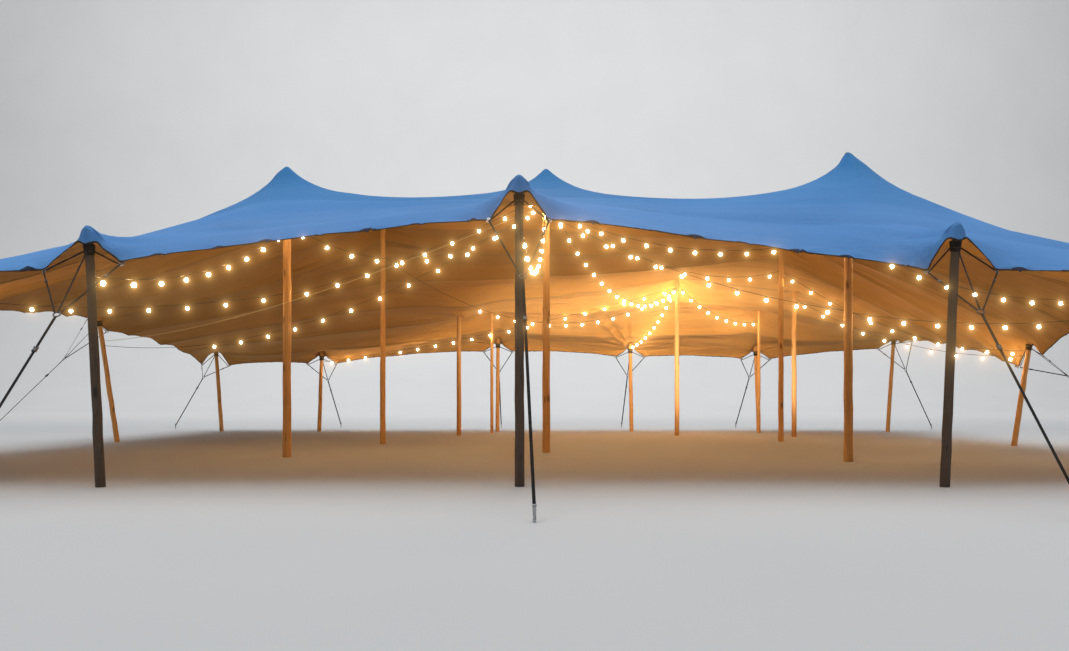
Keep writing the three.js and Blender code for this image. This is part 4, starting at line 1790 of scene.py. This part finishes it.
class Hardware:
    """The fittings that repeat, each modelled once at the origin and copied."""

    def __init__(self, finishes: Finishes) -> None:
        """Model every template.

        Args:
            finishes: the tent's finishes.
        """
        self.ring = self.finished(self.torus(GuyLine.ring_radius, 0.007, 20, 8), finishes.buckle)
        self.eye = self.finished(self.corner_eye(), finishes.steel)
        self.ratchet = self.finished(self.ratchet_buckle(), finishes.buckle)
        self.stake = self.finished(self.ground_stake(), finishes.steel)
        self.wrap = self.finished(self.band_turn(), finishes.webbing)
        self.socket = self.finished(self.lamp_socket(), finishes.socket)
        self.bulb = self.finished(self.globe(), finishes.bulb)

    def finished(self, template: bpy.types.Object, finish: bpy.types.Material) -> bpy.types.Object:
        """Give a template its finish and smooth it.

        Args:
            template: the modelled object.
            finish: its material.

        Returns:
            The same object.
        """
        template.data.materials.append(finish)
        return smoothed(template, 35)

    def discard(self) -> None:
        """Remove the templates once every copy is made."""
        for template in (self.ring, self.eye, self.ratchet, self.stake, self.wrap, self.socket, self.bulb):
            bpy.data.objects.remove(template)

    def torus(self, radius: float, wire: float, segments: int, sides: int) -> bpy.types.Object:
        """Model a ring of round wire, lying flat."""
        deselect()
        bpy.ops.mesh.primitive_torus_add(
            major_radius=radius, minor_radius=wire, major_segments=segments, minor_segments=sides
        )
        return bpy.context.object

    def cylinder(self, radius: float, length: float, sides: int, axis: str,
                 place: Vector) -> bpy.types.Object:
        """Model a bevelled pin along an axis.

        Args:
            radius: its radius.
            length: its length.
            sides: how many sides it has.
            axis: X, Y or Z.
            place: its middle.

        Returns:
            The pin's object.
        """
        turns = {"X": (0.0, math.pi / 2, 0.0), "Y": (math.pi / 2, 0.0, 0.0), "Z": (0.0, 0.0, 0.0)}
        deselect()
        bpy.ops.mesh.primitive_cylinder_add(
            vertices=sides, radius=radius, depth=length, location=place, rotation=turns[axis]
        )
        return self.bevelled(settle(bpy.context.object), 0.15 * radius)

    def plate(self, size: tuple[float, float, float], place: tuple[float, float, float]) -> bpy.types.Object:
        """Model a plate with eased edges.

        Args:
            size: its length, width and thickness.
            place: its middle.

        Returns:
            The plate's object.
        """
        deselect()
        bpy.ops.mesh.primitive_cube_add(size=1.0, location=place, scale=size)
        return self.bevelled(settle(bpy.context.object), 0.2 * min(size))

    def bevelled(self, thing: bpy.types.Object, width: float) -> bpy.types.Object:
        """Ease an object's edges.

        Args:
            thing: the object.
            width: how wide the eased edge is.

        Returns:
            The same object.
        """
        return modified(thing, "BEVEL", width=width, segments=1, limit_method="ANGLE")

    def corner_eye(self) -> bpy.types.Object:
        """Model the hem corner's ring with its webbing loop, the loop's X towards the leg."""
        ring = self.torus(0.030, 0.0055, 18, 6)
        loop = self.plate((0.075, 0.034, 0.012), (-0.045, 0.0, 0.0))
        return joined("corner_eye", [ring, loop])

    def ratchet_buckle(self) -> bpy.types.Object:
        """Model a ratchet buckle along X: two side plates, drum, axle, base bar and handle."""
        parts = [
            *(self.plate((0.105, 0.004, 0.034), (0.0, aside, 0.0)) for aside in (-0.025, 0.025)),
            self.cylinder(0.0125, 0.046, 14, "Y", Vector((-0.018, 0.0, 0.002))),
            self.cylinder(0.006, 0.060, 10, "Y", Vector((0.044, 0.0, 0.0))),
            self.plate((0.030, 0.046, 0.004), (0.022, 0.0, -0.012)),
            self.plate((0.062, 0.040, 0.004), (0.012, 0.0, 0.020)),
            self.cylinder(0.007, 0.052, 10, "Y", Vector((0.046, 0.0, 0.021))),
        ]
        return joined("ratchet_buckle", parts)

    def ground_stake(self) -> bpy.types.Object:
        """Model the stake above ground: a bar with a mushroomed head and a welded hook, its X outwards."""
        bar = self.cylinder(0.015, 0.135, 16, "Z", Vector((0.0, 0.0, 0.0675)))
        head = self.cylinder(0.022, 0.014, 16, "Z", Vector((0.0, 0.0, 0.141)))
        hook = self.torus(0.024, 0.0055, 16, 6)
        hook.rotation_euler = (math.pi / 2, 0.0, 0.0)
        hook.location = (-0.020, 0.0, 0.088)
        return joined("ground_stake", [bar, head, settle(hook)])

    def band_turn(self) -> bpy.types.Object:
        """Model one turn of the head band: a short tube of radius one, extruded and thickened."""
        deselect()
        bpy.ops.mesh.primitive_circle_add(vertices=28, radius=1.0, location=(0.0, 0.0, -0.019))
        band = bpy.context.object
        with editing(band):
            bpy.ops.mesh.extrude_region_move(TRANSFORM_OT_translate={"value": (0.0, 0.0, 0.038)})
        return outward(modified(settle(band), "SOLIDIFY", thickness=0.10, offset=1.0))

    def lamp_socket(self) -> bpy.types.Object:
        """Model a lamp socket that hangs under its cable: a clamp, a body and a collar."""
        profile = ((0.013, 0.002), (0.013, -0.010), (0.017, -0.014), (0.018, -0.038), (0.0155, -0.042))
        rings = [(Vector((0.0, 0.0, level)), radius) for radius, level in profile]
        return outward(settle(drawn_up(8, Vector((0.0, 0.0, 0.008)), 0.008, rings)))

    def globe(self) -> bpy.types.Object:
        """Model a globe bulb under its socket, its neck drawn up into the collar."""
        deselect()
        bpy.ops.mesh.primitive_uv_sphere_add(
            segments=10, ring_count=7, radius=0.027, location=(0.0, 0.0, -0.066)
        )
        bulb = settle(bpy.context.object)
        with picking(bulb, "VERT", [vertex.co.z > -0.0447 for vertex in bulb.data.vertices]):
            bpy.ops.transform.translate(value=(0.0, 0.0, 0.006))
        return bulb


@dataclass
class HangingCable:
    """A cable between two poles, with or without lamps.

    Attributes:
        name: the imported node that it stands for.
        run: where it hangs.
        poles: every pole, by name.
        radius: half of its thickness.
        clearance: how far its ends lie off the poles' surfaces.
        stretches: how many straight stretches it is drawn with.
    """

    name: str
    run: Run
    poles: dict[str, Pole]
    radius: float = 0.0045
    clearance: float = 0.006
    stretches: int = 32

    def route(self) -> list[Vector]:
        """Return the points of the cable between the surfaces of its two poles."""
        start, end = self.poles[self.run.start], self.poles[self.run.end]
        first, last = start.at(self.run.leaves), end.at(self.run.reaches)
        ahead = last - first
        sideways = Vector((-ahead.y, ahead.x, 0.0)).normalized() * self.run.aside
        near = (start.radius_at(self.run.leaves) + self.clearance) / ahead.length
        far = (end.radius_at(self.run.reaches) + self.clearance) / ahead.length
        points = []
        for step in range(self.stretches + 1):
            share = near + (1 - near - far) * step / self.stretches
            point = first.lerp(last, share) + sideways
            point.z -= 4 * self.run.sag * share * (1 - share)
            points.append(point)
        return points

    def build(self, hardware: Hardware, finishes: Finishes) -> list[bpy.types.Object]:
        """Model the cable and its lamps.

        Args:
            hardware: the templates of socket and bulb.
            finishes: the tent's finishes.

        Returns:
            The finished pieces.
        """
        points = self.route()
        lit = self.run.spacing > 0
        curve = bpy.data.curves.new(f"{self.name}_cable", "CURVE")
        curve.dimensions = "3D"
        curve.bevel_depth = self.radius
        curve.bevel_resolution = 2
        spline = curve.splines.new("POLY")
        spline.points.add(len(points) - 1)
        for knot, point in zip(spline.points, points, strict=True):
            knot.co = (*point, 1.0)
        cable = bpy.data.objects.new(f"{self.name}_cable", curve)
        bpy.context.scene.collection.objects.link(cable)
        curve.materials.append(finishes.cable if lit else finishes.lead)
        ride(cable, "festoon_cable" if lit else "lead_sheath", self.name)
        pieces = [cable]
        if lit:
            pieces += self.lamps(points, hardware)
        return pieces

    def lamps(self, points: list[Vector], hardware: Hardware) -> list[bpy.types.Object]:
        """Hang a socket and a bulb at each lamp place.

        Args:
            points: the cable's points.
            hardware: the templates of socket and bulb.

        Returns:
            The sockets' piece and the bulbs' piece.
        """
        lengths = [0.0]
        for a, b in zip(points, points[1:]):
            lengths.append(lengths[-1] + (b - a).length)
        strung = lengths[-1] - self.run.bare
        count = max(2, round(strung / self.run.spacing))
        sockets, bulbs = [], []
        for number in range(count):
            wanted = self.run.bare + strung * (number + 0.5) / count
            index = next(k for k in range(1, len(points)) if lengths[k] >= wanted)
            share = (wanted - lengths[index - 1]) / (lengths[index] - lengths[index - 1])
            place = Matrix.Translation(points[index - 1].lerp(points[index], share))
            sockets.append(placed(hardware.socket, place))
            bulbs.append(placed(hardware.bulb, place))
        return [
            ride(joined(f"{self.name}_sockets", sockets), "festoon_cable"),
            ride(joined(f"{self.name}_bulbs", bulbs), "bulb_glass"),
        ]


@dataclass(frozen=True)
class PhotoCamera:
    """The camera, level and shifted up as in the photograph.

    Attributes:
        place: where it stands, in metres.
        focal_pixels: its focal length in pixels of the photograph.
        width: the photograph's width in pixels.
        height: the photograph's height in pixels.
        horizon: the row of the horizon.
    """

    place: tuple[float, float, float] = (-0.1025, -18.3485, 1.07)
    focal_pixels: float = 935.0
    width: int = 1069
    height: int = 651
    horizon: float = 393.0

    def build(self) -> bpy.types.Object:
        """Add the camera to the scene.

        Returns:
            The camera's object.
        """
        data = bpy.data.cameras.new("photo_camera")
        data.sensor_width = 36.0
        data.lens = self.focal_pixels / self.width * data.sensor_width
        data.shift_y = (self.horizon - self.height / 2) / self.width
        data.clip_end = 400.0
        camera = bpy.data.objects.new("photo_camera", data)
        camera.location = self.place
        camera.rotation_euler = (math.pi / 2, 0.0, 0.0)
        bpy.context.scene.collection.objects.link(camera)
        bpy.context.scene.camera = camera
        return camera


@dataclass(frozen=True)
class Studio:
    """A plain pale floor that curves up into a backdrop, and soft light.

    Attributes:
        half_width: how far the floor reaches to each side.
        near: where the floor begins, behind the camera.
        far: where it starts to curve up.
        bend: the radius of the curve.
        height: how high the backdrop stands.
        floor_colour: the paint's colour.
        sky_colour: the colour of the light all round.
        sky_strength: how strong that light is.
        sunk: how far the floor lies below the ground.
        bend_steps: how many strips the curve has.
    """

    half_width: float = 130.0
    near: float = -130.0
    far: float = 34.0
    bend: float = 22.0
    height: float = 62.0
    floor_colour: tuple[float, float, float] = (0.54, 0.54, 0.535)
    sky_colour: tuple[float, float, float] = (0.86, 0.91, 1.0)
    sky_strength: float = 0.4
    sunk: float = 0.002
    bend_steps: int = 16

    def build(self) -> None:
        """Add the floor, the sky and the lamps."""
        profile = [(self.near, -self.sunk)]
        for step in range(self.bend_steps + 1):
            turn = step / self.bend_steps * math.pi / 2
            rise = self.bend * (1 - math.cos(turn)) - self.sunk
            profile.append((self.far + self.bend * math.sin(turn), rise))
        profile.append((self.far + self.bend, self.height))
        points = np.array([(side * self.half_width, y, z) for y, z in profile for side in (-1, 1)])
        faces = [(2 * k, 2 * k + 1, 2 * k + 3, 2 * k + 2) for k in range(len(profile) - 1)]
        floor = smoothed(mesh_piece("studio_floor", points, faces), 60)
        bench = NodeBench("floor_paint")
        bench.shade(Roughness=0.9, Specular_IOR_Level=0.1)
        mottle = bench.noise((0.3, 0.3, 0.3), 3.0)
        dusty = tuple(0.97 * value for value in self.floor_colour)
        bench.colour(bench.ramp(mottle, (0.3, self.floor_colour), (0.7, dusty)))
        floor.data.materials.append(bench.material)
        world = bpy.data.worlds.new("studio_sky")
        bpy.context.scene.world = world
        world.use_nodes = True
        sky = world.node_tree.nodes["Background"]
        sky.inputs["Color"].default_value = (*self.sky_colour, 1.0)
        sky.inputs["Strength"].default_value = self.sky_strength
        self.softbox("top_light", (0.0, -2.0, 36.0), 40.0, 11000.0, (0.95, 0.98, 1.0))
        self.softbox("key_light", (-16.0, -20.0, 30.0), 16.0, 1300.0, (0.96, 0.98, 1.0))
        self.softbox("fill_light", (20.0, -12.0, 22.0), 16.0, 350.0, (0.93, 0.96, 1.0))
        self.softbox(
            "backdrop_light", (0.0, 22.0, 34.0), 90.0, 21000.0, (1.0, 1.0, 1.0), (0.0, 56.0, 20.0), 20.0
        )
        glow = self.softbox(
            "table_glow", (2.7, 3.2, 0.8), 7.0, 145.0, (1.0, 0.93, 0.82), (2.7, 7.2, 3.9), 1.0
        )
        glow.spread = math.radians(112)
        bpy.context.scene.view_settings.view_transform = "Standard"
        self.halo()

    def halo(self) -> None:
        """Let the lit bulbs glow softly in the picture, as they do through a lens."""
        scene = bpy.context.scene
        scene.use_nodes = True
        tree = scene.node_tree
        tree.nodes.clear()
        layers = tree.nodes.new("CompositorNodeRLayers")
        glow = tree.nodes.new("CompositorNodeGlare")
        glow.glare_type = "FOG_GLOW"
        glow.quality = "HIGH"
        settings = {"Threshold": 3.0, "Strength": 0.55, "Size": 0.3, "Saturation": 1.0, "Maximum": 30.0}
        for socket, value in settings.items():
            glow.inputs[socket].default_value = value
        glow.inputs["Clamp"].default_value = True
        glow.inputs["Tint"].default_value = (1.0, 0.80, 0.50, 1.0)
        picture = tree.nodes.new("CompositorNodeComposite")
        tree.links.new(layers.outputs["Image"], glow.inputs["Image"])
        tree.links.new(glow.outputs["Image"], picture.inputs["Image"])

    def softbox(self, name: str, place: tuple[float, float, float], size: float, power: float,
                colour: tuple[float, float, float], target: tuple[float, float, float] = (0.0, 0.0, 2.5),
                deep: float = 0.0) -> bpy.types.AreaLight:
        """Add a large soft light that faces the tent.

        Args:
            name: the light's name.
            place: where it hangs.
            size: its width in metres.
            power: its power in watts.
            colour: its colour.
            target: the point that it faces.
            deep: its other side in metres, or 0 for a square.

        Returns:
            The light's data.
        """
        data = bpy.data.lights.new(name, "AREA")
        data.shape = "RECTANGLE"
        data.size = size
        data.size_y = deep or size
        data.energy = power
        data.color = colour
        light = bpy.data.objects.new(name, data)
        light.location = place
        light.rotation_euler = (Vector(target) - Vector(place)).to_track_quat("-Z", "Y").to_euler()
        bpy.context.scene.collection.objects.link(light)
        return data


def report(pieces: Iterable[bpy.types.Object]) -> None:
    """Log each piece with its number of faces.

    Args:
        pieces: the finished pieces.
    """
    for piece in pieces:
        faces = len(piece.data.polygons) if piece.type == "MESH" else 0
        LOG.info("%s: %d faces", piece.name, faces)


def main() -> None:
    """Build the tent: camera and cables first, then canopy, poles, rigging and studio."""
    logging.basicConfig(level=logging.INFO, format="%(name)s %(relativeCreated)d %(message)s")
    PhotoCamera().build()
    inner = {name: Pole(name) for name in INNER_POLES}
    edge = {}
    for name, (side, before, after) in EDGE_POLES.items():
        edge[name] = EdgePole(name, side=side, corner_offsets=(before, after))
    poles = {**inner, **edge}
    finishes = Finishes()
    hardware = Hardware(finishes)
    for name, run in CABLES.items():
        report(HangingCable(name, run, poles).build(hardware, finishes))
    canopy = Canopy(inner, edge)
    report([canopy.build(finishes)])
    trim = HemTrim(canopy)
    report([trim.binding(finishes), trim.tabs(finishes), trim.seam_tapes(finishes)])
    for name, pole in poles.items():
        dark = name.startswith("front")
        finish = finishes.weathered if dark else finishes.pine
        report([pole.timber(finish, "weathered_pole" if dark else "pine_pole")])
    for name, pole in edge.items():
        report(GuyLine(pole, *ASIDE.get(name, (0.0, 0.0))).build(hardware, finishes))
    hardware.discard()
    Studio().build()


if __name__ == "__main__":
    main()
